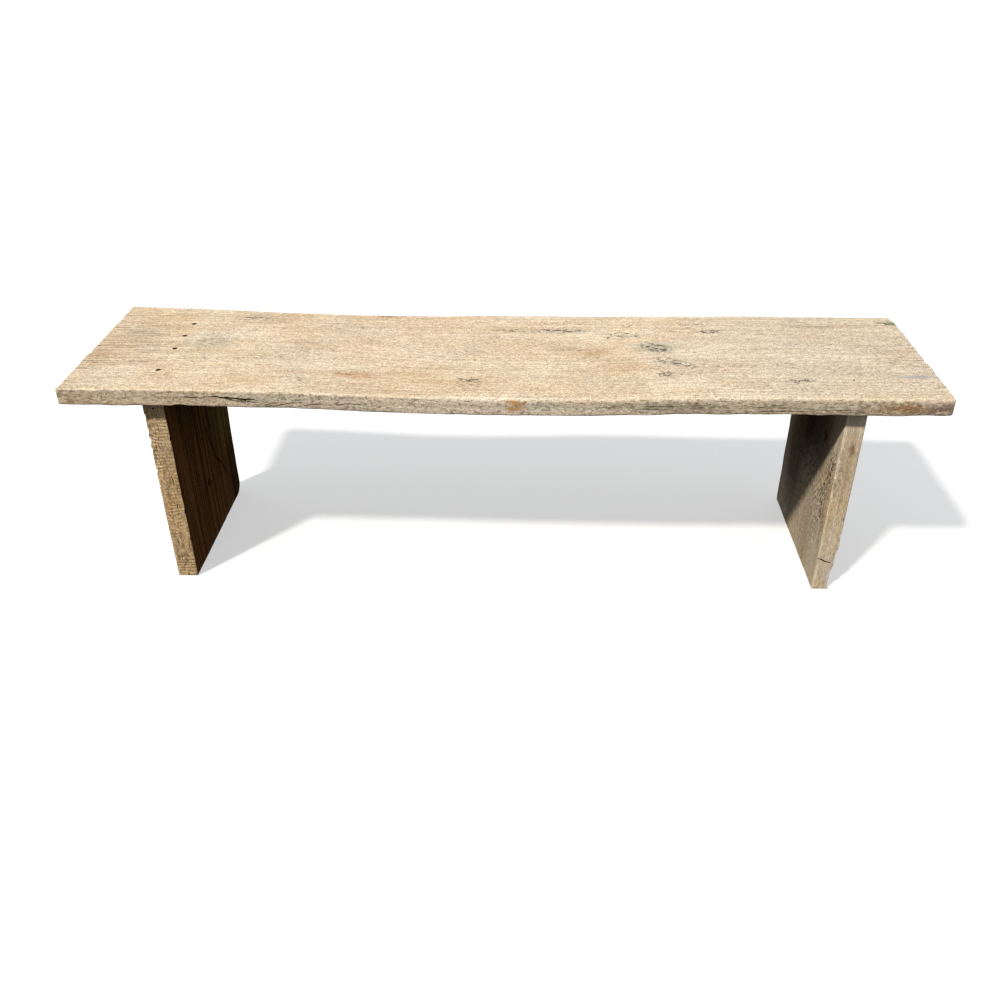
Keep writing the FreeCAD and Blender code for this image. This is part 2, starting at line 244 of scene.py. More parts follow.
@dataclass
class BoardGrid:
    """A board as one closed grid: rings round its section, at stations along its grain.

    A ring starts on the upper broad face at the front, and goes round by the back. Its first
    coordinate runs across the board, its second through the thickness.
    """

    face_steps: int = 120
    edge_steps: int = 12
    arc_steps: int = 4
    end_arris: float = 3 * MM
    end_steps: int = 4

    @property
    def count(self) -> int:
        """How many points a ring has."""
        return 2 * (self.face_steps + self.edge_steps + 2) + 4 * (self.arc_steps - 1)

    def _rings(
        self, low: np.ndarray, high: np.ndarray, radii: np.ndarray
    ) -> tuple[np.ndarray, np.ndarray]:
        """Points and outward directions of every ring.

        Args:
            low: Lowest corner of the section at each station, two columns.
            high: Highest corner, the same.
            radii: Arris radii: front upper, back upper, back lower, front lower.

        Returns:
            Points and directions, both by station, ring point and coordinate.
        """
        corners = ((low, high), (high, high), (high, low), (low, low))
        signs = ((-1, 1), (1, 1), (1, -1), (-1, -1))
        normals = ((0.0, 1.0), (1.0, 0.0), (0.0, -1.0), (-1.0, 0.0))
        steps = (self.face_steps, self.edge_steps, self.face_steps, self.edge_steps)
        centres = []
        for number, ((across, through), (sign_a, sign_b)) in enumerate(zip(corners, signs)):
            radius = radii[:, number]
            centre = (across[:, 0] - sign_a * radius, through[:, 1] - sign_b * radius)
            centres.append(np.stack(centre, 1))
        points, outward = [], []
        for number in range(4):
            following = (number + 1) % 4
            normal = np.array(normals[number])
            start = centres[number] + normal * radii[:, number, None]
            stop = centres[following] + normal * radii[:, following, None]
            for share in np.linspace(0, 1, steps[number] + 1):
                points.append(start * (1 - share) + stop * share)
                outward.append(np.broadcast_to(normal, start.shape))
            for step in range(1, self.arc_steps):
                angle = math.pi / 2 * (1 - number - step / self.arc_steps)
                turn = np.array((math.cos(angle), math.sin(angle)))
                points.append(centres[following] + turn * radii[:, following, None])
                outward.append(np.broadcast_to(turn, start.shape))
        return np.stack(points, 1), np.stack(outward, 1)

    def _stations(self, along: np.ndarray) -> tuple[np.ndarray, np.ndarray, np.ndarray]:
        """Adds the rounded arrises and the flat ends to the stations along a board.

        Args:
            along: Stations from one end to the other.

        Returns:
            Place, inset and closing share of every station.
        """
        first, last = along[0], along[-1]
        angle = np.linspace(0, math.pi / 2, self.end_steps + 1)
        lead = self.end_arris * (1 - np.cos(angle))
        inset = self.end_arris * (1 - np.sin(angle))
        closing = np.linspace(1, 0, self.end_steps, endpoint=False)
        flat, none = np.zeros(self.end_steps), np.zeros(self.end_steps)
        inner = along[(along > first + self.end_arris * 1.2) & (along < last - self.end_arris * 1.2)]
        place = np.concatenate([first + flat, first + lead, inner, last - lead[::-1], last + flat])
        insets = np.concatenate(
            [self.end_arris + none, inset, 0 * inner, inset[::-1], self.end_arris + none]
        )
        shut = np.concatenate([closing, 0 * lead, 0 * inner, 0 * lead, closing[::-1]])
        return place, insets, shut

    def build(
        self,
        name: str,
        along: np.ndarray,
        section: Callable[[np.ndarray], tuple[np.ndarray, np.ndarray, np.ndarray]],
        place: Callable[[np.ndarray, np.ndarray, np.ndarray], np.ndarray],
    ) -> bpy.types.Mesh:
        """Lofts the board.

        Args:
            name: The mesh's name.
            along: Stations from one end to the other.
            section: Gives the low corners, high corners and radii at the stations.
            place: Takes the distances along, across and through to points in the frame.

        Returns:
            The closed mesh.
        """
        stations, inset, shut = self._stations(along)
        low, high, radii = section(stations)
        points, outward = self._rings(low, high, radii)
        points = points - outward * inset[:, None, None]
        mirrored = (self._mirror_sum() - np.arange(self.count)) % self.count
        middle = (points + points[:, mirrored]) / 2
        half = (high[:, 1] - low[:, 1]) / 2
        middle[:, :, 0] = np.clip(
            middle[:, :, 0], (low[:, 0] + half)[:, None], (high[:, 0] - half)[:, None]
        )
        points = points + (middle - points) * shut[:, None, None]
        placed = place(
            np.broadcast_to(stations[:, None], points.shape[:2]), points[:, :, 0], points[:, :, 1]
        )
        faces = tube_faces(len(stations), self.count, capped=False)
        return mesh_from(name, placed.reshape(-1, 3), faces)

    def _mirror_sum(self) -> int:
        """What a ring point's number and its opposite's, on the other broad face, add up to."""
        lower_start = self.face_steps + self.edge_steps + 2 + 2 * (self.arc_steps - 1)
        return lower_start + self.face_steps


# ---- geometry nodes ----------------------------------------------------------------------------


FLOAT, VECTOR = "NodeSocketFloat", "NodeSocketVector"
GEOMETRY, MATERIAL = "NodeSocketGeometry", "NodeSocketMaterial"


class Graph:
    """Adds nodes to a tree and joins them, for shaders and geometry alike."""

    def __init__(self, tree: bpy.types.NodeTree) -> None:
        """Starts on a tree.

        Args:
            tree: The tree that takes the nodes.
        """
        self.tree = tree

    def add(
        self, kind: str, inputs: Mapping[str | int, Wired | None] | None = None, **settings: object
    ) -> bpy.types.Node:
        """Adds one node.

        Args:
            kind: The node's type name.
            inputs: Input name or number to a value or to the socket that feeds it.
            **settings: The node's own properties.

        Returns:
            The node.
        """
        node = self.tree.nodes.new(kind)
        for key, value in settings.items():
            setattr(node, key, value)
        for key, value in (inputs or {}).items():
            if isinstance(value, Socket):
                self.tree.links.new(value, node.inputs[key])
            elif value is not None:
                node.inputs[key].default_value = value
        return node

    def math(self, operation: str, *values: Wired) -> Socket:
        """One Math node's result."""
        node = self.add("ShaderNodeMath", dict(enumerate(values)), operation=operation)
        return node.outputs[0]

    def vector(self, operation: str, *values: Wired) -> Socket:
        """One Vector Math node's vector; SCALE takes its factor as the second value."""
        keys = (0, "Scale") if operation == "SCALE" else (0, 1, 2)
        node = self.add("ShaderNodeVectorMath", dict(zip(keys, values)), operation=operation)
        return node.outputs[0]

    def length(self, value: Wired) -> Socket:
        """The length of a vector."""
        return self.add("ShaderNodeVectorMath", {0: value}, operation="LENGTH").outputs["Value"]

    def dot(self, first: Wired, second: Wired) -> Socket:
        """The dot product of two vectors."""
        node = self.add("ShaderNodeVectorMath", {0: first, 1: second}, operation="DOT_PRODUCT")
        return node.outputs["Value"]

    def noise(
        self,
        vector: Wired,
        scale: Wired = 1.0,
        detail: float = 2.0,
        roughness: float = 0.5,
        shift: Wired = 0.0,
        colour: bool = False,
    ) -> Socket:
        """A 4D Noise Texture's factor, or its colour."""
        node = self.add(
            "ShaderNodeTexNoise",
            {"Vector": vector, "Scale": scale, "Detail": detail, "Roughness": roughness, "W": shift},
            noise_dimensions="4D",
        )
        return node.outputs["Color" if colour else "Fac"]

    def remap(
        self, value: Wired, low: Wired, high: Wired, to_low: Wired = 0.0, to_high: Wired = 1.0
    ) -> Socket:
        """Eases a value from one range to another, held at both ends."""
        node = self.add(
            "ShaderNodeMapRange",
            {"Value": value, "From Min": low, "From Max": high, "To Min": to_low, "To Max": to_high},
            interpolation_type="SMOOTHSTEP",
        )
        return node.outputs["Result"]

    def mix(self, factor: Wired, first: Wired, second: Wired, blend: str = "MIX") -> Socket:
        """Mixes two colours."""
        node = self.add(
            "ShaderNodeMix", {0: factor, 6: first, 7: second}, data_type="RGBA", blend_type=blend
        )
        return node.outputs[2]

    def hand_out(self, result: bpy.types.Node, **made: Socket) -> bpy.types.NodeTree:
        """Joins results to the output node's sockets of the same name, and gives the tree."""
        for label, socket in made.items():
            self.tree.links.new(socket, result.inputs[label])
        return self.tree

    def group(self, tree: bpy.types.NodeTree, inputs: Mapping[str, Wired]) -> bpy.types.Node:
        """Places a shader group with its own values."""
        return self.add("ShaderNodeGroup", inputs, node_tree=tree)


def new_tree(
    name: str, kind: str, inputs: Mapping[str, tuple[str, object]], outputs: Mapping[str, str]
) -> tuple[Graph, bpy.types.Node, bpy.types.Node]:
    """Makes a node group with named sockets.

    Args:
        name: The group's name.
        kind: "ShaderNodeTree" or "GeometryNodeTree".
        inputs: Name to socket type and default value, None for no default.
        outputs: Name to socket type.

    Returns:
        The graph, the group's input node and its output node.
    """
    tree = bpy.data.node_groups.new(name, kind)
    for label, (socket_type, default) in inputs.items():
        socket = tree.interface.new_socket(label, in_out="INPUT", socket_type=socket_type)
        if default is not None:
            socket.default_value = default
    for label, socket_type in outputs.items():
        tree.interface.new_socket(label, in_out="OUTPUT", socket_type=socket_type)
    return Graph(tree), tree.nodes.new("NodeGroupInput"), tree.nodes.new("NodeGroupOutput")


def run_tree(
    item: bpy.types.Object, tree: bpy.types.NodeTree, values: Mapping[str, object]
) -> bpy.types.Object:
    """Runs a geometry tree on an object and keeps its plain result.

    Args:
        item: The object.
        tree: The geometry tree.
        values: Input name to value.

    Returns:
        The object with its new mesh.
    """
    modifier = item.modifiers.new(tree.name, "NODES")
    modifier.node_group = tree
    sockets = {s.name: s.identifier for s in tree.interface.items_tree if s.in_out == "INPUT"}
    for label, value in values.items():
        modifier[sockets[label]] = value
    return settle(item)


def dress(graph: Graph, shape: Socket, material: Socket, result: bpy.types.Node) -> None:
    """Ends a geometry tree: makes instances real and gives them their material.

    Args:
        graph: The tree's graph.
        shape: The finished geometry.
        material: The material's socket.
        result: The tree's output node.
    """
    plain = graph.add("GeometryNodeRealizeInstances", {"Geometry": shape})
    dressed = graph.add(
        "GeometryNodeSetMaterial", {"Geometry": plain.outputs[0], "Material": material}
    )
    graph.tree.links.new(dressed.outputs[0], result.inputs[0])


def relief_tree() -> bpy.types.NodeTree:
    """The rule that weathers a board: grooves along the grain, lumps and saw marks.

    Returns:
        A geometry tree.
    """
    graph, given, result = new_tree(
        "Weathered relief",
        "GeometryNodeTree",
        {
            "Geometry": (GEOMETRY, None),
            "Groove Scale": (VECTOR, (6.0, 90.0, 90.0)),
            "Groove Depth": (FLOAT, 0.5 * MM),
            "Lump Scale": (FLOAT, 9.0),
            "Lump Depth": (FLOAT, 1.0 * MM),
            "Saw Direction": (VECTOR, (0.0, 0.0, 1.0)),
            "Saw Pitch": (FLOAT, 8 * MM),
            "Saw Depth": (FLOAT, 0.0),
            "Seed": (FLOAT, 0.0),
            "Material": (MATERIAL, None),
        },
        {"Geometry": GEOMETRY},
    )
    place = graph.add("GeometryNodeInputPosition").outputs[0]
    normal = graph.add("GeometryNodeInputNormal").outputs[0]
    stretched = graph.vector("MULTIPLY", place, given.outputs["Groove Scale"])
    seed = given.outputs["Seed"]
    groove = graph.math("SUBTRACT", graph.noise(stretched, 1.0, 3.0, 0.6, seed), 0.5)
    groove = graph.math("MULTIPLY", groove, given.outputs["Groove Depth"])
    lump = graph.math("SUBTRACT", graph.noise(place, given.outputs["Lump Scale"], 3.0, 0.5, seed), 0.5)
    across = graph.dot(place, given.outputs["Saw Direction"])
    turns = graph.math("DIVIDE", across, given.outputs["Saw Pitch"])
    drift = graph.math("MULTIPLY", lump, 5.0)
    wave = graph.math("SINE", graph.math("MULTIPLY", graph.math("ADD", turns, drift), 2 * math.pi))
    patchy = graph.remap(graph.noise(place, 25.0, 1.0, 0.5, seed), 0.35, 0.65)
    saw = graph.math("MULTIPLY", graph.math("MULTIPLY", wave, patchy), given.outputs["Saw Depth"])
    lump = graph.math("MULTIPLY", lump, given.outputs["Lump Depth"])
    height = graph.math("ADD", graph.math("ADD", groove, lump), saw)
    moved = graph.add(
        "GeometryNodeSetPosition",
        {"Geometry": given.outputs["Geometry"], "Offset": graph.vector("SCALE", normal, height)},
    )
    smooth = graph.add("GeometryNodeSetShadeSmooth", {"Geometry": moved.outputs[0]})
    dress(graph, smooth.outputs[0], given.outputs["Material"], result)
    return graph.tree


def screw_row_tree() -> bpy.types.NodeTree:
    """The rule that sets a row of screws: one at each vertex, each turned its own way.

    Returns:
        A geometry tree.
    """
    graph, given, result = new_tree(
        "Screw row",
        "GeometryNodeTree",
        {
            "Geometry": (GEOMETRY, None),
            "Screw": ("NodeSocketObject", None),
            "Lay": (VECTOR, (0.0, 0.0, 0.0)),
            "Seed": ("NodeSocketInt", 0),
            "Material": (MATERIAL, None),
        },
        {"Geometry": GEOMETRY},
    )
    screw = graph.add("GeometryNodeObjectInfo", {"Object": given.outputs["Screw"]})
    laid = graph.add(
        "GeometryNodeInstanceOnPoints",
        {
            "Points": given.outputs["Geometry"],
            "Instance": screw.outputs["Geometry"],
            "Rotation": given.outputs["Lay"],
        },
    )
    turn = graph.add(
        "FunctionNodeRandomValue", {3: 2 * math.pi, "Seed": given.outputs["Seed"]}, data_type="FLOAT"
    )
    spin = graph.add("ShaderNodeCombineXYZ", {"Z": turn.outputs[1]})
    spun = graph.add(
        "GeometryNodeRotateInstances", {"Instances": laid.outputs[0], "Rotation": spin.outputs[0]}
    )
    dress(graph, spun.outputs[0], given.outputs["Material"], result)
    return graph.tree


# ---- carving -----------------------------------------------------------------------------------


class Carving:
    """Collects closed cutting shapes for one board, and cuts them out in one go."""

    LIFT = 4 * MM

    def __init__(self, name: str, seed: int) -> None:
        """Starts an empty set of cuts.

        Args:
            name: The cutting object's name.
            seed: Seed of everything random about the cuts.
        """
        self.name = name
        self.random = np.random.default_rng(seed)
        self.points: list[np.ndarray] = []
        self.faces: list[list[int]] = []
        self.total = 0

    def _keep(self, points: np.ndarray, faces: Iterable[Sequence[int]]) -> None:
        """Adds one closed shape, whose faces are numbered from 0."""
        self.faces += [[number + self.total for number in face] for face in faces]
        self.points.append(points)
        self.total += len(points)

    def split(
        self,
        path: Sequence[Point],
        normal: Point,
        width: float,
        depth: float,
        ragged: float = 0.8 * MM,
        step: float = 5 * MM,
        open_start: bool = False,
    ) -> None:
        """Cuts a split that tapers to nothing at its ends.

        Args:
            path: Points of its line on the board's face.
            normal: Which way that face looks.
            width: Its width where it is widest.
            depth: Its depth there.
            ragged: How far the line strays from its path.
            step: Distance between the points that stray.
            open_start: Whether it starts at full width, as a check in an end does.
        """
        corners = np.array(path)
        runs = np.linalg.norm(np.diff(corners, axis=0), axis=1)
        reach = np.concatenate([[0.0], np.cumsum(runs)])
        share = np.linspace(0, 1, max(4, int(reach[-1] / step) + 2))
        line = np.stack([np.interp(share * reach[-1], reach, corners[:, i]) for i in range(3)], 1)
        out = np.array(normal) / np.linalg.norm(normal)
        ahead = np.gradient(line, axis=0)
        side = np.cross(ahead, out)
        side /= np.linalg.norm(side, axis=1)[:, None]
        line = line + side * self.random.uniform(-ragged, ragged, len(share))[:, None]
        taper = np.sin(np.pi * share) if not open_start else np.cos(np.pi / 2 * share)
        taper = np.maximum(taper, 0.06) ** 0.6 * self.random.uniform(0.6, 1.0, len(share))
        half = (width / 2 * taper)[:, None]
        deep = (depth * taper)[:, None]
        spread = half * (1 + self.LIFT / deep)
        ring = (
            line + side * spread + out * self.LIFT,
            line - side * spread + out * self.LIFT,
            line - out * deep + side * half * self.random.uniform(-0.8, 0.8, (len(share), 1)),
        )
        self._keep(np.stack(ring, 1).reshape(-1, 3), tube_faces(len(share), 3))

    def chip(
        self,
        centre: Point,
        size: Point,
        turn: Point = (0.0, 0.0, 0.0),
        rough: float = 0.12,
        detail: int = 2,
    ) -> None:
        """Knocks out a lump.

        Args:
            centre: The lump's middle.
            size: Its half sizes.
            turn: How it is turned, in radians.
            rough: How uneven it is, as a share of its size.
            detail: How often its faces are divided.
        """
        work = bmesh.new()
        bmesh.ops.create_icosphere(work, subdivisions=detail, radius=1.0)
        points = np.array([vertex.co[:] for vertex in work.verts])
        faces = [[vertex.index for vertex in face.verts] for face in work.faces]
        work.free()
        points *= 1 + self.random.uniform(-rough, rough, (len(points), 1))
        spun = np.array(Euler(turn).to_matrix())
        self._keep((points * np.array(size)) @ spun.T + np.array(centre), faces)

    def bore(self, top: Vector, steps: Sequence[tuple[float, float]], axis: Point, sides: int = 20) -> None:
        """Drills a stepped hole.

        Args:
            top: Where the hole's line starts.
            steps: Distance along the hole and radius, from the first rim to the last.
            axis: Which way the drill goes.
            sides: Corners of the hole's rim.
        """
        ahead = Vector(axis).normalized()
        side = ahead.orthogonal().normalized()
        other = ahead.cross(side)
        angles = np.arange(sides) * 2 * math.pi / sides
        worn = self.random.uniform(0.0, 0.12, sides)
        rings = []
        for number, (distance, radius) in enumerate(steps):
            wide = radius * (1 + worn if number < 2 else np.ones(sides))
            across = np.outer(np.cos(angles) * wide, side) + np.outer(np.sin(angles) * wide, other)
            rings.append(across + np.array(top + ahead * distance))
        self._keep(np.concatenate(rings), tube_faces(len(steps), sides))

    def box(self, low: Point, high: Point) -> None:
        """Cuts a square trench between two corners."""
        ends = []
        for z in (low[2], high[2]):
            ends += [(low[0], low[1], z), (high[0], low[1], z), (high[0], high[1], z), (low[0], high[1], z)]
        self._keep(np.array(ends), tube_faces(2, 4))

    def cut(self, board: bpy.types.Object, inside: bpy.types.Material) -> bpy.types.Object:
        """Cuts everything out of a board.

        Args:
            board: The board, with a plain closed mesh.
            inside: Material of the faces that the cuts lay bare.

        Returns:
            The carved board.
        """
        mesh = mesh_from(self.name, np.concatenate(self.points), self.faces)
        mesh.materials.append(inside)
        tool = new_object(self.name, mesh)
        modifier = board.modifiers.new("Carving", "BOOLEAN")
        modifier.operation = "DIFFERENCE"
        modifier.solver = "EXACT"
        modifier.use_self = True
        modifier.material_mode = "TRANSFER"
        modifier.object = tool
        settle(board)
        bpy.data.objects.remove(tool)
        return board


def finish_board(board: bpy.types.Object, sharp: float = 42.0) -> bpy.types.Object:
    """Shades a board smooth, but for the edges of its cuts.

    Args:
        board: The board.
        sharp: Angle in degrees past which an edge stays sharp.

    Returns:
        The board.
    """
    board.data.shade_smooth()
    board.data.set_sharp_from_angle(angle=math.radians(sharp))
    return board


# ---- shader groups -----------------------------------------------------------------------------



def grain_group() -> bpy.types.NodeTree:
    """Old wood's figure in three dimensions, for fibres that run along X.

    Returns:
        A shader group: growth rings, long streaks, fine fibres and open pores.
    """
    graph, given, result = new_tree(
        "Old wood grain",
        "ShaderNodeTree",
        {
            "Vector": (VECTOR, None),
            "Pith": (VECTOR, (0.0, 0.04, 0.2)),
            "Ring Width": (FLOAT, 4.5 * MM),
            "Waviness": (FLOAT, 18 * MM),
            "Fibre Width": (FLOAT, 1.6 * MM),
            "Seed": (FLOAT, 0.0),
        },
        {"Ring": FLOAT, "Streak": FLOAT, "Hair": FLOAT, "Fibre": FLOAT, "Pore": FLOAT},
    )
    vector, seed = given.outputs["Vector"], given.outputs["Seed"]
    slow = graph.vector("MULTIPLY", vector, (1.3, 4.0, 4.0))
    bend = graph.vector("SUBTRACT", graph.noise(slow, 1.0, 2.0, 0.5, seed, colour=True), (0.5,) * 3)
    bent = graph.vector("ADD", vector, graph.vector("SCALE", bend, given.outputs["Waviness"]))
    off_pith = graph.vector("SUBTRACT", bent, given.outputs["Pith"])
    section = graph.vector("MULTIPLY", off_pith, (0.0, 1.0, 1.0))
    rings = graph.math("DIVIDE", graph.length(section), given.outputs["Ring Width"])
    line = graph.add("ShaderNodeCombineXYZ", {"X": rings}).outputs[0]
    ring = graph.noise(line, 1.0, 1.0, 0.5, seed)
    streak = graph.noise(graph.vector("MULTIPLY", bent, (3.0, 150.0, 150.0)), 1.0, 3.0, 0.6, seed)
    hair = graph.noise(graph.vector("MULTIPLY", bent, (7.0, 330.0, 330.0)), 1.0, 2.0, 0.6, seed)
    finer = graph.math("DIVIDE", 1.0, given.outputs["Fibre Width"])
    stretched = graph.vector("MULTIPLY", bent, (0.12, 1.0, 1.0))
    fibre = graph.noise(stretched, finer, 3.0, 0.65, seed)
    dashes = graph.noise(graph.vector("MULTIPLY", bent, (0.16, 1.0, 1.0)), 520.0, 1.0, 0.5, seed)
    open_area = graph.noise(slow, 5.0, 2.0, 0.5, graph.math("ADD", seed, 3.0))
    threshold = graph.remap(open_area, 0.4, 0.65, 0.72, 0.6)
    pore = graph.remap(dashes, threshold, graph.math("ADD", threshold, 0.05))
    return graph.hand_out(result, Ring=ring, Streak=streak, Hair=hair, Fibre=fibre, Pore=pore)


def fuzz_group() -> bpy.types.NodeTree:
    """The raised, torn fibres of bleached wood, seen as fine light and dark specks.

    Returns:
        A shader group: specks and soft blotches.
    """
    graph, given, result = new_tree(
        "Bleached fuzz",
        "ShaderNodeTree",
        {"Vector": (VECTOR, None), "Speck Size": (FLOAT, 4 * MM), "Seed": (FLOAT, 0.0)},
        {"Specks": FLOAT, "Tufts": FLOAT, "Blotches": FLOAT},
    )
    seed = given.outputs["Seed"]
    finer = graph.math("DIVIDE", 1.0, given.outputs["Speck Size"])
    specks = graph.noise(given.outputs["Vector"], finer, 2.0, 0.7, seed)
    matted = graph.vector("MULTIPLY", given.outputs["Vector"], (0.42, 1.0, 1.0))
    tufts = graph.noise(matted, graph.math("MULTIPLY", finer, 0.7), 2.0, 0.6, seed)
    wide = graph.vector("MULTIPLY", given.outputs["Vector"], (0.45, 1.0, 1.0))
    blotches = graph.noise(wide, 14.0, 4.0, 0.6, graph.math("ADD", seed, 7.0))
    return graph.hand_out(result, Specks=specks, Tufts=tufts, Blotches=blotches)


def patch_group() -> bpy.types.NodeTree:
    """One soft-edged oval patch on a board.

    Returns:
        A shader group: the patch's mask.
    """
    graph, given, result = new_tree(
        "Patch",
        "ShaderNodeTree",
        {
            "Vector": (VECTOR, None),
            "Centre": (VECTOR, (0.0, 0.0, 0.0)),
            "Size": (VECTOR, (0.02, 0.02, 0.02)),
            "Turn": (FLOAT, 0.0),
            "Softness": (FLOAT, 0.5),
        },
        {"Mask": FLOAT},
    )
    away = graph.vector("SUBTRACT", given.outputs["Vector"], given.outputs["Centre"])
    turned = graph.add("ShaderNodeVectorRotate", {"Vector": away, "Angle": given.outputs["Turn"]})
    shares = graph.vector("DIVIDE", turned.outputs[0], given.outputs["Size"])
    start = graph.math("SUBTRACT", 1.0, given.outputs["Softness"])
    stop = graph.math("ADD", 1.0, given.outputs["Softness"])
    mask = graph.remap(graph.length(shares), start, stop, 1.0, 0.0)
    return graph.hand_out(result, Mask=mask)


def squiggle_group() -> bpy.types.NodeTree:
    """Fine curling dark lines, as bark pockets and worm tracks leave them.

    Returns:
        A shader group: the lines' mask.
    """
    graph, given, result = new_tree(
        "Squiggles",
        "ShaderNodeTree",
        {
            "Vector": (VECTOR, None),
            "Size": (FLOAT, 12 * MM),
            "Line": (FLOAT, 0.03),
            "Seed": (FLOAT, 0.0),
        },
        {"Mask": FLOAT},
    )
    finer = graph.math("DIVIDE", 1.0, given.outputs["Size"])
    stretched = graph.vector("MULTIPLY", given.outputs["Vector"], (0.6, 1.0, 1.0))
    field_ = graph.noise(stretched, finer, 2.0, 0.6, given.outputs["Seed"])
    off = graph.math("ABSOLUTE", graph.math("SUBTRACT", field_, 0.5))
    mask = graph.remap(off, 0.0, given.outputs["Line"], 1.0, 0.0)
    return graph.hand_out(result, Mask=mask)


def wear_group() -> bpy.types.NodeTree:
    """Edge wear: pale rubbed arrises, and darker colour in the hollows.

    Returns:
        A shader group: the worn mask and the hollows' mask.
    """
    graph, given, result = new_tree(
        "Edge wear",
        "ShaderNodeTree",
        {"Vector": (VECTOR, None), "Pointiness": (FLOAT, 0.5), "Reach": (FLOAT, 0.06)},
        {"Worn": FLOAT, "Dirt": FLOAT},
    )
    broken = graph.noise(given.outputs["Vector"], 160.0, 2.0, 0.6)
    shift = graph.math("MULTIPLY", graph.math("SUBTRACT", broken, 0.5), 0.05)
    sharpness = graph.math("ADD", given.outputs["Pointiness"], shift)
    high = graph.math("ADD", 0.51, given.outputs["Reach"])
    low = graph.math("SUBTRACT", 0.49, given.outputs["Reach"])
    worn = graph.remap(sharpness, 0.51, high)
    return graph.hand_out(result, Worn=worn, Dirt=graph.remap(sharpness, low, 0.49, 1.0, 0.0))


def saw_group() -> bpy.types.NodeTree:
    """The ribs that a saw leaves across a board.

    Returns:
        A shader group: the ribs' height from 0 to 1.
    """
    graph, given, result = new_tree(
        "Saw marks",
        "ShaderNodeTree",
        {"Vector": (VECTOR, None), "Pitch": (FLOAT, 7 * MM), "Wobble": (FLOAT, 0.6)},
        {"Height": FLOAT},
    )
    slow = graph.noise(given.outputs["Vector"], 30.0, 2.0, 0.5)
    along = graph.add("ShaderNodeSeparateXYZ", {0: given.outputs["Vector"]}).outputs["X"]
    turns = graph.math("DIVIDE", along, given.outputs["Pitch"])
    drift = graph.math("MULTIPLY", graph.math("MULTIPLY", slow, 4.0), given.outputs["Wobble"])
    wave = graph.math("SINE", graph.math("MULTIPLY", graph.math("ADD", turns, drift), 2 * math.pi))
    patchy = graph.remap(graph.noise(given.outputs["Vector"], 22.0, 1.0, 0.5, 5.0), 0.38, 0.6)
    height = graph.math("MULTIPLY", graph.math("MULTIPLY_ADD", wave, 0.5, 0.5), patchy)
    return graph.hand_out(result, Height=height)


@dataclass
class ShaderGroups:
    """The effects that more than one material uses, each built once."""

    grain: bpy.types.NodeTree = field(default_factory=grain_group)
    fuzz: bpy.types.NodeTree = field(default_factory=fuzz_group)
    patch: bpy.types.NodeTree = field(default_factory=patch_group)
    squiggle: bpy.types.NodeTree = field(default_factory=squiggle_group)
    wear: bpy.types.NodeTree = field(default_factory=wear_group)
    saw: bpy.types.NodeTree = field(default_factory=saw_group)


# ---- finishes and painted shade ----------------------------------------------------------------


def blank_material(name: str) -> tuple[bpy.types.Material, Graph]:
    """Starts a material without nodes.

    Args:
        name: The material's name.

    Returns:
        The material and the graph of its tree.
    """
    material = bpy.data.materials.new(name)
    material.use_nodes = True
    material.node_tree.nodes.clear()
    return material, Graph(material.node_tree)


def close_material(graph: Graph, inputs: Mapping[str, Wired]) -> None:
    """Ends a material with its shader.

    Args:
        graph: The material's graph.
        inputs: The shader's socket names and values.
    """
    shader = graph.add("ShaderNodeBsdfPrincipled", inputs)
    graph.add("ShaderNodeOutputMaterial", {"Surface": shader.outputs[0]})


@dataclass(frozen=True)
class Stain:
    """A patch of another colour on a board, either a stain or painted shade: place and half sizes in
    metres, turn in radians.
    """

    colour: str
    centre: Point
    size: Point
    strength: float = 0.5
    turn: float = 0.0
    softness: float = 0.6
    breakup: Breakup = Breakup.NONE


@dataclass(frozen=True)
class FaceTone:
    """Painted shade on the faces that look one way: its dark and light streaks, and where it lies."""

    direction: Point
    dark: str
    light: str
    strength: float = 0.9
    centre: Point = (0.0, 0.0, 0.0)
    reach: Point = (9.0, 9.0, 9.0)
    softness: float = 0.4


@dataclass(frozen=True)
class Tracks:
    """A patch of curling dark lines: place and half sizes in metres."""

    centre: Point
    size: Point
    turn: float = 0.0


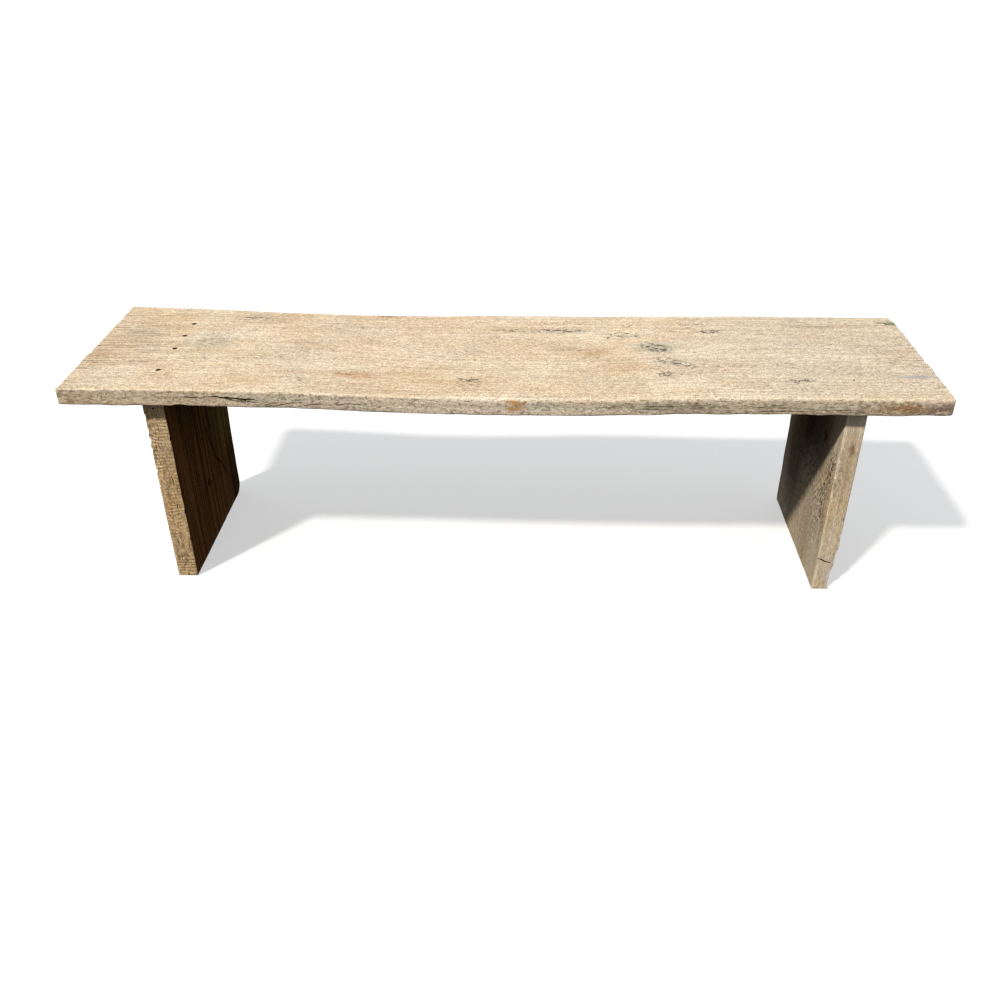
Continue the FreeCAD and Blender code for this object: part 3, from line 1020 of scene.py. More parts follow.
@dataclass(frozen=True)
class WoodFinish:
    """Bleached old wood: its paints, how strong each feature is, where it is marked, and where shade is
    painted on it.
    """

    name: str
    pale: str
    warm: str
    grey: str
    dark: str
    line: str
    grain: Grain = Grain.ALONG
    pith: Point = (0.0, 0.04, 0.2)
    ring_strength: float = 0.25
    streak_strength: float = 0.3
    fibre_strength: float = 0.35
    speck_strength: float = 0.3
    speck_size: float = 4 * MM
    saw_strength: float = 0.0
    saw_pitch: float = 7 * MM
    worn_strength: float = 0.35
    roughness: float = 0.88
    bump: float = 0.9 * MM
    seed: float = 0.0
    side_flecks: float = 0.0
    fleck: str = "8f7a61"
    tones: tuple[FaceTone, ...] = ()
    stains: tuple[Stain, ...] = ()
    tracks: tuple[Tracks, ...] = ()
    track: str = "434b49"
    track_line: float = 0.035
    track_size: float = 12 * MM

    def material(self, groups: ShaderGroups) -> bpy.types.Material:
        """Builds the material.

        Args:
            groups: The shared shader groups.

        Returns:
            The material.
        """
        material, graph = blank_material(self.name)
        given = graph.add("ShaderNodeTexCoord").outputs
        place = given["Object"]
        turned = graph.add("ShaderNodeMapping", {"Vector": place, "Rotation": self.grain.value})
        along = turned.outputs[0]
        grain = graph.group(
            groups.grain, {"Vector": along, "Pith": self.pith, "Seed": self.seed}
        ).outputs
        fuzz = graph.group(
            groups.fuzz, {"Vector": along, "Speck Size": self.speck_size, "Seed": self.seed}
        ).outputs
        pointiness = graph.add("ShaderNodeNewGeometry").outputs["Pointiness"]
        wear = graph.group(groups.wear, {"Vector": place, "Pointiness": pointiness}).outputs

        colour = graph.mix(
            graph.remap(fuzz["Blotches"], 0.35, 0.68), paint(self.pale), paint(self.warm)
        )
        cool = graph.noise(place, 6.0, 3.0, 0.55, self.seed + 11.0)
        colour = graph.mix(graph.remap(cool, 0.5, 0.72, 0.0, 0.7), colour, paint(self.grey))
        breaks = {Breakup.SPECKS: fuzz["Tufts"], Breakup.STREAKS: grain["Hair"]}
        colour, tracks = self._marks(graph, groups, place, colour, breaks)
        rings = graph.remap(grain["Ring"], 0.35, 0.62, self.ring_strength, 0.0)
        colour = graph.mix(rings, colour, paint(self.dark))
        streaks = graph.remap(grain["Streak"], 0.45, 0.7, 0.0, self.streak_strength)
        colour = graph.mix(streaks, colour, paint(self.dark))
        colour = self._value(graph, colour, grain["Fibre"], self.fibre_strength)
        colour = self._value(graph, colour, fuzz["Specks"], self.speck_strength)
        colour = graph.mix(graph.math("MULTIPLY", grain["Pore"], 0.55), colour, paint(self.line))
        colour = graph.mix(
            graph.math("MULTIPLY", wear["Worn"], self.worn_strength), colour, paint(self.pale)
        )
        # Darker in the hollows, where pointiness is low.
        colour = graph.mix(graph.math("MULTIPLY", wear["Dirt"], 0.6), colour, paint(self.line))
        patterns = (fuzz["Tufts"], grain["Streak"])
        colour = self._faces(graph, groups, place, given["Normal"], colour, patterns)
        colour = graph.mix(graph.math("MULTIPLY", tracks, 0.85), colour, paint(self.track))

        height = graph.math("MULTIPLY", grain["Fibre"], 0.55)
        height = graph.math("MULTIPLY_ADD", fuzz["Specks"], 0.6, height)
        height = graph.math("MULTIPLY_ADD", grain["Streak"], -0.25, height)
        height = graph.math("MULTIPLY_ADD", grain["Pore"], -0.5, height)
        height = graph.math("MULTIPLY_ADD", tracks, -1.2, height)
        if self.saw_strength:
            saw = graph.group(groups.saw, {"Vector": along, "Pitch": self.saw_pitch}).outputs[0]
            height = graph.math("MULTIPLY_ADD", saw, self.saw_strength, height)
            # Painted shade: the troughs of the saw marks are darkened towards the dark paint.
            shade = graph.remap(saw, 0.0, 1.0, 0.25 * self.saw_strength, 0.0)
            colour = graph.mix(shade, colour, paint(self.dark))
        bump = graph.add("ShaderNodeBump", {"Height": height, "Distance": self.bump, "Strength": 1.0})
        rough = graph.remap(fuzz["Specks"], 0.3, 0.7, self.roughness - 0.06, self.roughness + 0.06)
        ends = {"Base Color": colour, "Roughness": rough, "Specular IOR Level": 0.08}
        close_material(graph, {**ends, "Normal": bump.outputs[0]})
        return material

    def _value(self, graph: Graph, colour: Socket, pattern: Socket, strength: float) -> Socket:
        """Lightens and darkens a colour by a pattern that lies round one half."""
        factor = graph.remap(pattern, 0.25, 0.75, 1.0 - strength, 1.0 + strength)
        grey = graph.add("ShaderNodeCombineXYZ", {0: factor, 1: factor, 2: factor}).outputs[0]
        return graph.mix(1.0, colour, grey, "MULTIPLY")

    def _faces(
        self,
        graph: Graph,
        groups: ShaderGroups,
        place: Socket,
        normal: Socket,
        colour: Socket,
        patterns: tuple[Socket, Socket],
    ) -> Socket:
        """Lays painted shade on whole faces that look one way, and the dark flecks of the rough narrow
        ones.

        Args:
            graph: The material's graph.
            groups: The shared shader groups.
            place: Object coordinates.
            normal: Which way the surface looks.
            colour: The colour so far.
            patterns: The fuzz's tufts and the grain's streaks.

        Returns:
            The colour with its flecks and painted shade.
        """
        tufts, streak = patterns
        if self.side_flecks:
            upright = graph.add("ShaderNodeSeparateXYZ", {0: normal}).outputs["Z"]
            side = graph.remap(graph.math("ABSOLUTE", upright), 0.4, 0.8, self.side_flecks, 0.0)
            dark = graph.math("MULTIPLY", graph.remap(tufts, 0.52, 0.66), side)
            colour = graph.mix(dark, colour, paint(self.fleck))
            light = graph.math("MULTIPLY", graph.remap(tufts, 0.34, 0.47, 1.0, 0.0), side)
            colour = graph.mix(light, colour, paint(self.pale))
        # Painted shade: each face shade turns the faces that look its way to a dark streaked brown.
        for face_shade in self.tones:
            painted_shade_mask = graph.remap(graph.dot(normal, face_shade.direction), 0.5, 0.85, 0.0, face_shade.strength)
            near = self._patch(graph, groups, place, face_shade.centre, face_shade.reach, 0.0, face_shade.softness)
            painted_shade_mask = graph.math("MULTIPLY", painted_shade_mask, near)
            streaked = graph.mix(graph.remap(streak, 0.4, 0.6), paint(face_shade.light), paint(face_shade.dark))
            streaked = self._value(graph, streaked, tufts, 0.35)
            colour = graph.mix(painted_shade_mask, colour, streaked)
        return colour

    def _marks(
        self,
        graph: Graph,
        groups: ShaderGroups,
        place: Socket,
        colour: Socket,
        breaks: Mapping[Breakup, Socket],
    ) -> tuple[Socket, Wired]:
        """Lays the stains and the patches of painted shade on a colour, and gathers the tracks' mask.

        Args:
            graph: The material's graph.
            groups: The shared shader groups.
            place: Object coordinates.
            colour: The colour so far.
            breaks: The patterns that break up a stain.

        Returns:
            The colour with its stains and painted shade, and the tracks' mask.
        """
        if not self.stains and not self.tracks:
            return colour, 0.0
        stray = graph.vector(
            "SUBTRACT", graph.noise(place, 55.0, 3.0, 0.6, 2.0, colour=True), (0.5,) * 3
        )
        loose = graph.vector("ADD", place, graph.vector("SCALE", stray, 22 * MM))
        # Each patch is a stain or painted shade, mixed in by its own mask.
        for stain_and_shade in self.stains:
            mask = self._patch(graph, groups, loose, stain_and_shade.centre, stain_and_shade.size, stain_and_shade.turn, stain_and_shade.softness)
            mask = graph.math("MULTIPLY", mask, stain_and_shade.strength)
            if stain_and_shade.breakup in breaks:
                broken = graph.remap(breaks[stain_and_shade.breakup], 0.5, 0.6)
                mask = graph.math("MULTIPLY", mask, broken)
            colour = graph.mix(mask, colour, paint(stain_and_shade.colour))
        tracks: Wired = 0.0
        for run in self.tracks:
            mask = self._patch(graph, groups, loose, run.centre, run.size, run.turn, 0.4)
            tracks = graph.math("MAXIMUM", tracks, mask)
        if self.tracks:
            lines = graph.group(
                groups.squiggle,
                {"Vector": place, "Size": self.track_size, "Line": self.track_line},
            )
            tracks = graph.math("MULTIPLY", tracks, lines.outputs[0])
        return colour, tracks

    def _patch(
        self,
        graph: Graph,
        groups: ShaderGroups,
        vector: Socket,
        centre: Point,
        size: Point,
        turn: float,
        softness: float,
    ) -> Socket:
        """One patch's mask."""
        values = {"Vector": vector, "Centre": centre, "Size": size, "Turn": turn, "Softness": softness}
        return graph.group(groups.patch, values).outputs[0]


@dataclass(frozen=True)
class SteelFinish:
    """Old screw steel, dark and rusted."""

    name: str = "rusted_screw_steel"
    steel: str = "4a443f"
    rust: str = "6b3d22"
    roughness: float = 0.6

    def material(self, groups: ShaderGroups) -> bpy.types.Material:
        """Builds the material.

        Args:
            groups: The shared shader groups.

        Returns:
            The material.
        """
        material, graph = blank_material(self.name)
        place = graph.add("ShaderNodeTexCoord").outputs["Object"]
        fuzz = graph.group(groups.fuzz, {"Vector": place, "Speck Size": 1.2 * MM}).outputs
        rusty = graph.remap(fuzz["Specks"], 0.42, 0.6)
        colour = graph.mix(rusty, paint(self.steel), paint(self.rust))
        bump = graph.add("ShaderNodeBump", {"Height": fuzz["Specks"], "Distance": 0.15 * MM})
        rough = graph.remap(rusty, 0.0, 1.0, self.roughness - 0.15, 0.9)
        metal = graph.remap(rusty, 0.0, 1.0, 0.9, 0.1)
        ends = {"Base Color": colour, "Roughness": rough, "Metallic": metal}
        close_material(graph, {**ends, "Normal": bump.outputs[0]})
        return material


@dataclass(frozen=True)
class HollowFinish:
    """Painted shade: the dark colour of the wood inside splits, checks and holes."""

    name: str
    shade: str
    edge: str
    grain: Grain = Grain.ALONG

    def material(self, groups: ShaderGroups) -> bpy.types.Material:
        """Builds the material.

        Args:
            groups: The shared shader groups.

        Returns:
            The material.
        """
        material, graph = blank_material(self.name)
        place = graph.add("ShaderNodeTexCoord").outputs["Object"]
        turned = graph.add("ShaderNodeMapping", {"Vector": place, "Rotation": self.grain.value})
        grain = graph.group(groups.grain, {"Vector": turned.outputs[0]}).outputs
        colour = graph.mix(graph.remap(grain["Fibre"], 0.35, 0.7), paint(self.shade), paint(self.edge))
        bump = graph.add("ShaderNodeBump", {"Height": grain["Fibre"], "Distance": 0.8 * MM})
        rough = graph.remap(grain["Fibre"], 0.0, 1.0, 0.85, 0.98)
        ends = {"Base Color": colour, "Roughness": rough, "Specular IOR Level": 0.15}
        close_material(graph, {**ends, "Normal": bump.outputs[0]})
        return material


# ---- the bench's pieces ------------------------------------------------------------------------


@dataclass
class Workshop:
    """What every piece is made with: the shared trees and groups."""

    groups: ShaderGroups = field(default_factory=ShaderGroups)
    relief: bpy.types.NodeTree = field(default_factory=relief_tree)
    screw_row: bpy.types.NodeTree = field(default_factory=screw_row_tree)


def register(item: bpy.types.Object, node: str) -> None:
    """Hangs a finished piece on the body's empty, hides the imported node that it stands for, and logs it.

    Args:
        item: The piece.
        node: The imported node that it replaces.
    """
    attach(item, BODY)
    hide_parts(node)
    log.info("%s: %d faces, stands for %s", item.name, len(item.data.polygons), node)


@dataclass
class ScrewHead:
    """One screw of a row: the middle of its head's face, and how long it is."""

    place: Vector
    length: float


@dataclass
class ScrewRow:
    """A row of old slotted wood screws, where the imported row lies."""

    side: Side
    kind: str
    lay: Point
    head_radius: float = 4.4 * MM
    head_height: float = 3.5 * MM
    shank_radius: float = 2.4 * MM
    thread_depth: float = 0.6 * MM
    thread_pitch: float = 3 * MM
    tip: float = 7 * MM
    slot_width: float = 1.4 * MM
    slot_depth: float = 1.6 * MM
    sides: int = 14

    @property
    def node(self) -> str:
        """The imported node's name."""
        return f"{self.side.word}_{self.kind}_screws"

    @property
    def drive(self) -> Vector:
        """Which way the screws point."""
        return Euler(self.lay).to_matrix() @ Vector((0.0, 0.0, -1.0))

    def heads(self) -> list[ScrewHead]:
        """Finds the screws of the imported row: they stand apart along Y.

        Returns:
            One entry for each screw.
        """
        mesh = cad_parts[self.node].data
        points = np.array([vertex.co[:] for vertex in mesh.vertices])
        points = points[np.argsort(points[:, 1])]
        apart = np.flatnonzero(np.diff(points[:, 1]) > 10 * MM) + 1
        heads = []
        for cluster in np.split(points, apart):
            middle = Vector((cluster.min(0) + cluster.max(0)) / 2)
            extent = Vector(cluster.max(0) - cluster.min(0))
            length = max(extent)
            heads.append(ScrewHead(middle - self.drive * length / 2, length))
        return heads

    def _screw_mesh(self, length: float) -> bpy.types.Mesh:
        """Turns one threaded screw, head up, with its head's face at the origin.

        Args:
            length: From the head's face to the tip.

        Returns:
            The closed mesh.
        """
        angles = np.arange(self.sides) * 2 * math.pi / self.sides
        thread_top = -length * 0.36
        profile = [(0.0, 0.02), (0.15 * MM, 0.7), (0.0, 0.94), (-0.35 * MM, 1.0)]
        rings = [(z, np.full(self.sides, self.head_radius * share)) for z, share in profile]
        plain = self.shank_radius * 0.95
        rings += [(-self.head_height, np.full(self.sides, plain)), (thread_top, np.full(self.sides, plain))]
        step = self.thread_pitch / 4
        for z in np.arange(thread_top - step, -length + 1 * MM, -step):
            phase = (z / self.thread_pitch - angles / (2 * math.pi)) % 1.0
            ridge = 1 - np.abs(2 * phase - 1)
            taper = min(1.0, (z + length) / self.tip)
            radius = self.shank_radius - self.thread_depth * (1 - ridge)
            rings.append((z, np.maximum(radius * taper, 0.15 * MM)))
        rings.append((-length, np.full(self.sides, 0.05 * MM)))
        points = [
            np.stack([np.cos(angles) * radius, np.sin(angles) * radius, np.full(self.sides, z)], 1)
            for z, radius in rings
        ]
        return mesh_from("screw", np.concatenate(points), tube_faces(len(rings), self.sides))

    def build(self, shop: Workshop, steel: bpy.types.Material, seed: int) -> bpy.types.Object:
        """Makes the row.

        Args:
            shop: The shared trees and groups.
            steel: The screws' material.
            seed: Seed of the way each slot is turned.

        Returns:
            The piece.
        """
        heads = self.heads()
        master = new_object("screw", self._screw_mesh(heads[0].length))
        slot = Carving("slot", seed)
        reach, half = self.head_radius * 2, self.slot_width / 2
        slot.box((-reach, -half, -self.slot_depth), (reach, half, self.slot_depth))
        slot.cut(master, steel)
        finish_board(master, 35.0)
        mesh = bpy.data.meshes.new(self.node)
        mesh.from_pydata([head.place[:] for head in heads], [], [])
        row = new_object(f"{self.side.word}_{self.kind}_screw_row", mesh)
        values = {"Screw": master, "Lay": self.lay, "Seed": seed, "Material": steel}
        run_tree(row, shop.screw_row, values)
        bpy.data.objects.remove(master)
        register(row, self.node)
        return row


@dataclass
class SeatPlank:
    """The seat: one thick old plank, sagging a little, with a wandering back edge."""

    rows: Sequence[ScrewRow]
    grid: BoardGrid = field(default_factory=BoardGrid)
    station_pitch: float = 6 * MM
    end_pitch: float = 1.5 * MM
    end_zone: float = 15 * MM
    left_end_drop: float = 0.8 * MM
    right_end_lift: float = 1.8 * MM
    lift_start: float = 0.70
    front_upper_arris: tuple[float, float] = (3.5 * MM, 7 * MM)
    other_arris: float = 3.5 * MM
    corner_radius: float = 8 * MM
    bore_radius: float = 4.8 * MM
    closed_radius: float = 1.7 * MM
    clearance: float = 0.4 * MM
    trench_start: float = 0.4
    bore_lead: float = 9 * MM
    thread_skip: float = 33 * MM
    thread_end: float = 36 * MM

    def __post_init__(self) -> None:
        """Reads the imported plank's box and faces."""
        self.low, self.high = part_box("seat_plank")
        self.probe = CadProbe("seat_plank")
        self.middle_height = (self.low.z + self.high.z) / 2
        level_end = (self.low.x + 20 * MM, 0.0, -1.0)
        self.thickness = self.high.z - self.probe.reach(level_end, (0.0, 0.0, 1.0), 2)

    def warp(self, x: np.ndarray) -> np.ndarray:
        """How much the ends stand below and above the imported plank."""
        left = smooth_step((-x - self.lift_start) / (self.high.x - self.lift_start))
        right = smooth_step((x - self.lift_start) / (self.high.x - self.lift_start))
        return self.right_end_lift * right - self.left_end_drop * left

    def top_at(self, x: float) -> float:
        """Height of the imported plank's upper face at one place along it."""
        inside = min(max(x, self.low.x + 1 * MM), self.high.x - 1 * MM)
        return self.probe.reach((inside, 0.0, 1.0), (0.0, 0.0, -1.0), 2)

    def on_top(self, x: float, y: float) -> Point:
        """A point of the upper face, from two places in millimetres."""
        place = x * MM
        height = self.top_at(place) + float(self.warp(np.array([place]))[0])
        return (place, y * MM, height)

    def on_front(self, x: float, z: float) -> Point:
        """A point of the front face, from two places in millimetres."""
        return (x * MM, self.low.y, z * MM)

    def _section(self, x: np.ndarray) -> tuple[np.ndarray, np.ndarray, np.ndarray]:
        """The plank's section at stations along it."""
        inside = np.clip(x, self.low.x + 0.5 * MM, self.high.x - 0.5 * MM)
        level = self.middle_height + 2 * MM
        back = np.array([self.probe.reach((s, 1.0, level), (0.0, -1.0, 0.0), 1) for s in inside])
        top = np.array([self.top_at(s) for s in inside])
        back = back + wander(x, 0.05, 1.2 * MM, 3) + wander(x, 0.011, 0.5 * MM, 4)
        front = self.low.y + 0.6 * MM + wander(x, 0.06, 0.6 * MM, 5) + wander(x, 0.012, 0.35 * MM, 6)
        to_end = np.clip(self.corner_radius - (self.high.x - x), 0, self.corner_radius)
        front = front + self.corner_radius - np.sqrt(self.corner_radius**2 - to_end**2)
        low = np.stack([front, top - self.thickness + wander(x, 0.08, 0.7 * MM, 7)], 1)
        high = np.stack([back, top], 1)
        share = (x - self.low.x) / (self.high.x - self.low.x)
        left, right = self.front_upper_arris
        front_upper = left + (right - left) * share + wander(x, 0.03, 1.4 * MM, 8)
        others = [self.other_arris + wander(x, 0.025, 1.5 * MM, seed) for seed in (9, 10, 11)]
        return low, high, np.maximum(np.stack([front_upper, *others], 1), 1.2 * MM)

    def _place(self, along: np.ndarray, across: np.ndarray, through: np.ndarray) -> np.ndarray:
        """Takes the grid to the frame, with uneven sawn ends."""
        from_end = np.minimum(along - self.low.x, self.high.x - along)
        near = np.exp(-np.maximum(from_end, 0) / (12 * MM))
        sign = np.sign(along)
        uneven = wander(across.ravel(), 0.02, 1.6 * MM, 12).reshape(across.shape)
        uneven = uneven + wander(across.ravel(), 0.006, 0.7 * MM, 13).reshape(across.shape) - 1.6 * MM
        x = along + sign * uneven * near
        return np.stack([x, across, through + self.warp(along)], -1)

    def _stations(self) -> np.ndarray:
        """Stations along the plank, closer together at its ends."""
        ends = np.arange(0, self.end_zone, self.end_pitch)
        start, stop = self.low.x + self.end_zone, self.high.x - self.end_zone
        body = np.linspace(start, stop, int((stop - start) / self.station_pitch))
        return np.concatenate([self.low.x + ends, body, (self.high.x - ends)[::-1]])

    def _splits(self, carving: Carving) -> None:
        """The splits and cracks of the faces and the ends."""
        front, up, down = (0.0, -1.0, 0.0), (0.0, 0.0, 1.0), (0.0, 0.0, -1.0)
        along_front = (
            ([(-612, 446), (-585, 444.5), (-558, 444)], 3.2, 9),
            ([(-562, 447), (-540, 446.5), (-500, 443.5), (-455, 440)], 5.0, 15),
            ([(-530, 444), (-505, 439), (-478, 438)], 2.6, 9),
            ([(-505, 443), (-470, 436), (-452, 435)], 2.4, 8),
            ([(-440, 427), (-412, 432), (-389, 439)], 2.6, 7),
            ([(-470, 432), (-430, 434), (-405, 431)], 2.0, 6),
            ([(-385, 431), (-345, 433), (-318, 431)], 2.2, 6),
            ([(-400, 440), (-372, 443), (-352, 442)], 1.8, 5),
            ([(-455, 428), (-425, 429)], 1.8, 5),
            ([(452, 437), (500, 441), (549, 449)], 2.0, 6),
            ([(452, 430), (520, 432), (600, 433)], 2.2, 7),
            ([(560, 437), (620, 436), (690, 436)], 1.8, 6),
            ([(640, 431), (665, 433), (700, 431)], 2.0, 6),
            ([(262, 438), (310, 440), (366, 438)], 2.0, 6),
            ([(240, 432), (300, 433), (345, 431)], 1.8, 5),
            ([(180, 435), (215, 436)], 1.4, 4),
            ([(-320, 433), (-285, 436), (-262, 436)], 1.6, 5),
            ([(-165, 430), (-120, 432)], 1.6, 4),
            ([(-20, 448), (12, 449)], 1.6, 4),
        )
        for path, width, depth in along_front:
            carving.split([self.on_front(x, z) for x, z in path], front, width * MM, depth * MM)
        along_top = (
            ([(66, 121), (84, 126), (100, 118), (117, 125), (134, 117), (150, 122)], 2.8, 5),
            ([(-33, 121), (-10, 126), (12, 118), (34, 112)], 1.8, 4),
            ([(322, -39), (335, -50), (352, -56), (374, -70)], 3.0, 5),
            ([(316, -106), (323, -114), (330, -108)], 3.2, 5),
            ([(417, 108), (440, 104), (459, 110)], 2.4, 4),
            ([(554, -134), (572, -140), (592, -135)], 2.0, 4),
            ([(290, 40), (312, 24), (328, 14), (342, 2)], 2.2, 4),
            ([(804, 168), (822, 158), (842, 150)], 3.2, 7),
            ([(-82, -131), (-60, -134), (-42, -130)], 2.0, 4),
            ([(-534, -137), (-526, -138)], 2.2, 4),
            ([(-521, -135), (-515, -137)], 2.0, 4),
            ([(731, 38), (758, 35), (784, 37)], 1.0, 3),
            ([(150, 16), (163, 14)], 4.0, 6),
            ([(254, 143), (272, 141)], 1.3, 3),
            ([(388, -2), (397, -3)], 3.0, 5),
            ([(-279, 187), (-262, 189)], 3.4, 7),
        )
        for path, width, depth in along_top:
            places = [self.on_top(x, y) for x, y in path]
            carving.split(places, up, width * MM, depth * MM, ragged=1.4 * MM, step=4 * MM)
        for x, y in ((-480, 60), (-130, -90), (210, 120), (440, -30)):
            ends = (self.on_top(x, y), self.on_top(x + 130, y + 9))
            places = [(px, py, self.top_at(px) - self.thickness) for px, py, _ in ends]
            carving.split(places, down, 1.8 * MM, 7 * MM)
        self._end_checks(carving)

    def _end_checks(self, carving: Carving) -> None:
        """Drying checks that run in from both sawn ends."""
        depths = carving.random.uniform
        left = (-178, -149, -121, -84, -58, -31, -6, 17, 41, 62, 88, 127, 160)
        for y in left:
            reach, stray = depths(12, 62), depths(-3, 3)
            path = [self.on_top(-852, y), self.on_top(-850 + reach, y + stray)]
            carving.split(path, (0, 0, 1), depths(1.8, 4.2) * MM, depths(5, 13) * MM, open_start=True)
        for y in (-160, -101, -37, 24, 83, 121):
            reach, stray = depths(10, 40), depths(-3, 3)
            path = [self.on_top(852, y), self.on_top(850 - reach, y + stray)]
            carving.split(path, (0, 0, 1), depths(1.4, 2.4) * MM, depths(3, 8) * MM, open_start=True)
        for end in (-1, 1):
            face = end * self.high.x - end * 1.5 * MM
            for y in (-150, -90, -20, 55, 110):
                height = self.middle_height + depths(-3, 9) * MM
                tilt = depths(-5, 5)
                path = [
                    (face, (y - 24) * MM, height - tilt * MM / 2),
                    (face, (y + 24) * MM, height + tilt * MM / 2),
                ]
                carving.split(path, (end, 0, 0), depths(1.0, 1.9) * MM, depths(6, 14) * MM)

    def _hardware(self, carving: Carving, legs: Sequence["SlabLeg"]) -> None:
        """The screw holes, and the trenches that take the legs' top ends."""
        for row in self.rows:
            for head in row.heads():
                if row.kind == "seat":
                    rim = head.place - row.drive * self.bore_lead
                    rim_radius = self.bore_radius if row.side is Side.LEFT else self.closed_radius
                    steps = [(0.0, rim_radius), (6.0 * MM, rim_radius)]
                    steps += [(6.6 * MM, self.bore_radius), (8.9 * MM, self.bore_radius)]
                    steps += [(12.5 * MM, row.shank_radius), (31 * MM, row.shank_radius)]
                else:
                    rim = head.place + row.drive * self.thread_skip
                    steps = [(0.0, row.shank_radius), (head.length - self.thread_end, row.shank_radius)]
                carving.bore(rim, steps, row.drive[:])
        for leg in legs:
            low, high, gap = leg.low, leg.high, self.clearance
            start = (low.x - gap, low.y - gap, self.trench_start)
            carving.box(start, (high.x + gap, high.y + gap, high.z + 0.1 * MM))

    def _chips(self, carving: Carving) -> None:
        """The notch in the front lower arris, and small chips along the arrises."""
        lower = self.high.z - self.thickness
        carving.chip((-0.612, self.low.y, lower - 1 * MM), (0.021, 0.009, 0.006))
        carving.chip((-0.594, self.low.y - 1 * MM, lower - 2 * MM), (0.012, 0.007, 0.0045))
        carving.chip((-0.645, self.low.y - 1 * MM, lower - 2.5 * MM), (0.03, 0.006, 0.004))
        knot = -0.27
        centre = (knot, self._back_at(knot) + 1 * MM, self.top_at(knot) + 1 * MM)
        carving.chip(centre, (0.011, 0.006, 0.005))
        for x in (-0.79, -0.41, -0.14, 0.11, 0.27, 0.47, 0.61, 0.74):
            size = carving.random.uniform((6, 2, 2), (16, 4, 3.5)) * MM
            edge = self.low.y - 1 * MM
            carving.chip((x, edge, self.top_at(x) - self.thickness - 1 * MM), tuple(size))
        for x in (-0.73, -0.52, -0.35, -0.08, 0.05, 0.33, 0.55, 0.7):
            size = carving.random.uniform((6, 2, 2), (18, 4.5, 3.5)) * MM
            upper, under = 0.8 * MM, -self.thickness - 0.8 * MM
            height = self.top_at(x) + carving.random.choice((upper, under))
            carving.chip((x, self._back_at(x) + 1.2 * MM, height), tuple(size))

    def _back_at(self, x: float) -> float:
        """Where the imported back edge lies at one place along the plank."""
        return self.probe.reach((x, 1.0, self.middle_height + 2 * MM), (0.0, -1.0, 0.0), 1)

    def finish(self) -> WoodFinish:
        """The plank's wood, with its stains and tracks where the old board has them."""

        top, front = self.on_top, self.on_front
        stains = (
            Stain("d6cbb8", top(720, 0), (0.32, 0.26, 0.03), 0.55),
            Stain("e6cdb2", top(-200, 60), (0.25, 0.12, 0.03), 0.3),
            Stain("b9b6a4", top(-617, 23), (0.05, 0.06, 0.03), 0.45),
            Stain("bdb79c", top(-772, 58), (0.045, 0.05, 0.03), 0.35),
            Stain("f4e6cb", top(-650, 20), (0.007, 0.08, 0.03), 0.45, 0.1, 0.5),
            Stain("6d3f27", top(-790, -15), (0.10, 0.17, 0.03), 0.42, breakup=Breakup.STREAKS),
            Stain("8a5a3c", top(-680, 20), (0.14, 0.16, 0.03), 0.12, breakup=Breakup.STREAKS),
            Stain("8a6446", top(-560, 145), (0.08, 0.02, 0.02), 0.4, breakup=Breakup.STREAKS),
            Stain("9a5f40", top(-330, 145), (0.13, 0.03, 0.02), 0.35, breakup=Breakup.STREAKS),
            Stain("a5663a", top(-286, -125), (0.05, 0.018, 0.02), 0.6, breakup=Breakup.STREAKS),
            Stain("b98a5c", top(-286, -125), (0.035, 0.014, 0.02), 0.45),
            Stain("b07c52", top(-225, -50), (0.06, 0.03, 0.02), 0.4, breakup=Breakup.STREAKS),
            Stain("8f5f3c", top(-390, -120), (0.07, 0.012, 0.02), 0.35, breakup=Breakup.STREAKS),
            Stain("b08a68", top(182, 12), (0.032, 0.018, 0.02), 0.4),
            Stain("7e6a52", top(125, 22), (0.03, 0.016, 0.02), 0.35),
            Stain("c29c7a", top(235, -55), (0.07, 0.03, 0.02), 0.25),
            Stain("a5aa9b", top(316, 26), (0.05, 0.03, 0.02), 0.42),
            Stain("b3b5a6", top(345, -52), (0.045, 0.02, 0.02), 0.3),
            Stain("b2b3a4", top(110, 121), (0.075, 0.014, 0.02), 0.4),
            Stain("8f5f3f", top(500, 78), (0.09, 0.014, 0.02), 0.5, -0.1, breakup=Breakup.STREAKS),
            Stain("8f6f50", top(700, 140), (0.16, 0.014, 0.02), 0.55, breakup=Breakup.STREAKS),
            Stain("9a7a5a", top(640, 60), (0.1, 0.03, 0.02), 0.3, breakup=Breakup.STREAKS),
            Stain("a3a5ac", top(804, -117), (0.045, 0.006, 0.01), 0.7),
            Stain("7f7a70", top(757, 37), (0.05, 0.012, 0.01), 0.5, breakup=Breakup.STREAKS),
            Stain("4f7a4c", top(838, 153), (0.012, 0.008, 0.012), 0.8),
            Stain("7b5136", top(-271, 186), (0.02, 0.006, 0.012), 0.7),
            Stain("fff1dc", front(-90, 432), (0.40, 0.010, 0.022), 0.5),
            Stain("cdb08c", front(-700, 438), (0.16, 0.03, 0.022), 0.35),
            Stain("8f6a52", front(-420, 430), (0.16, 0.03, 0.012), 0.5, breakup=Breakup.STREAKS),
            Stain("d09433", front(31, 442), (0.018, 0.03, 0.006), 0.75, 0.0, 0.4),
            Stain("cc8a2c", front(29, 429), (0.016, 0.03, 0.006), 0.75, 0.0, 0.4),
            Stain("a8987f", front(180, 436), (0.13, 0.03, 0.02), 0.15),
            Stain("55504c", front(315, 436), (0.09, 0.03, 0.011), 0.65, breakup=Breakup.STREAKS),
            Stain("857c70", front(330, 437), (0.08, 0.03, 0.011), 0.4),
            Stain("a39581", front(520, 434), (0.16, 0.03, 0.016), 0.22),
            Stain("4f4a45", front(560, 432), (0.15, 0.03, 0.012), 0.6, breakup=Breakup.STREAKS),
            Stain("a06f30", front(758, 442), (0.045, 0.03, 0.01), 0.75),
            Stain("6c5254", front(826, 436), (0.026, 0.03, 0.016), 0.75),
            Stain("8f7f6c", front(720, 430), (0.09, 0.03, 0.008), 0.3),
        )
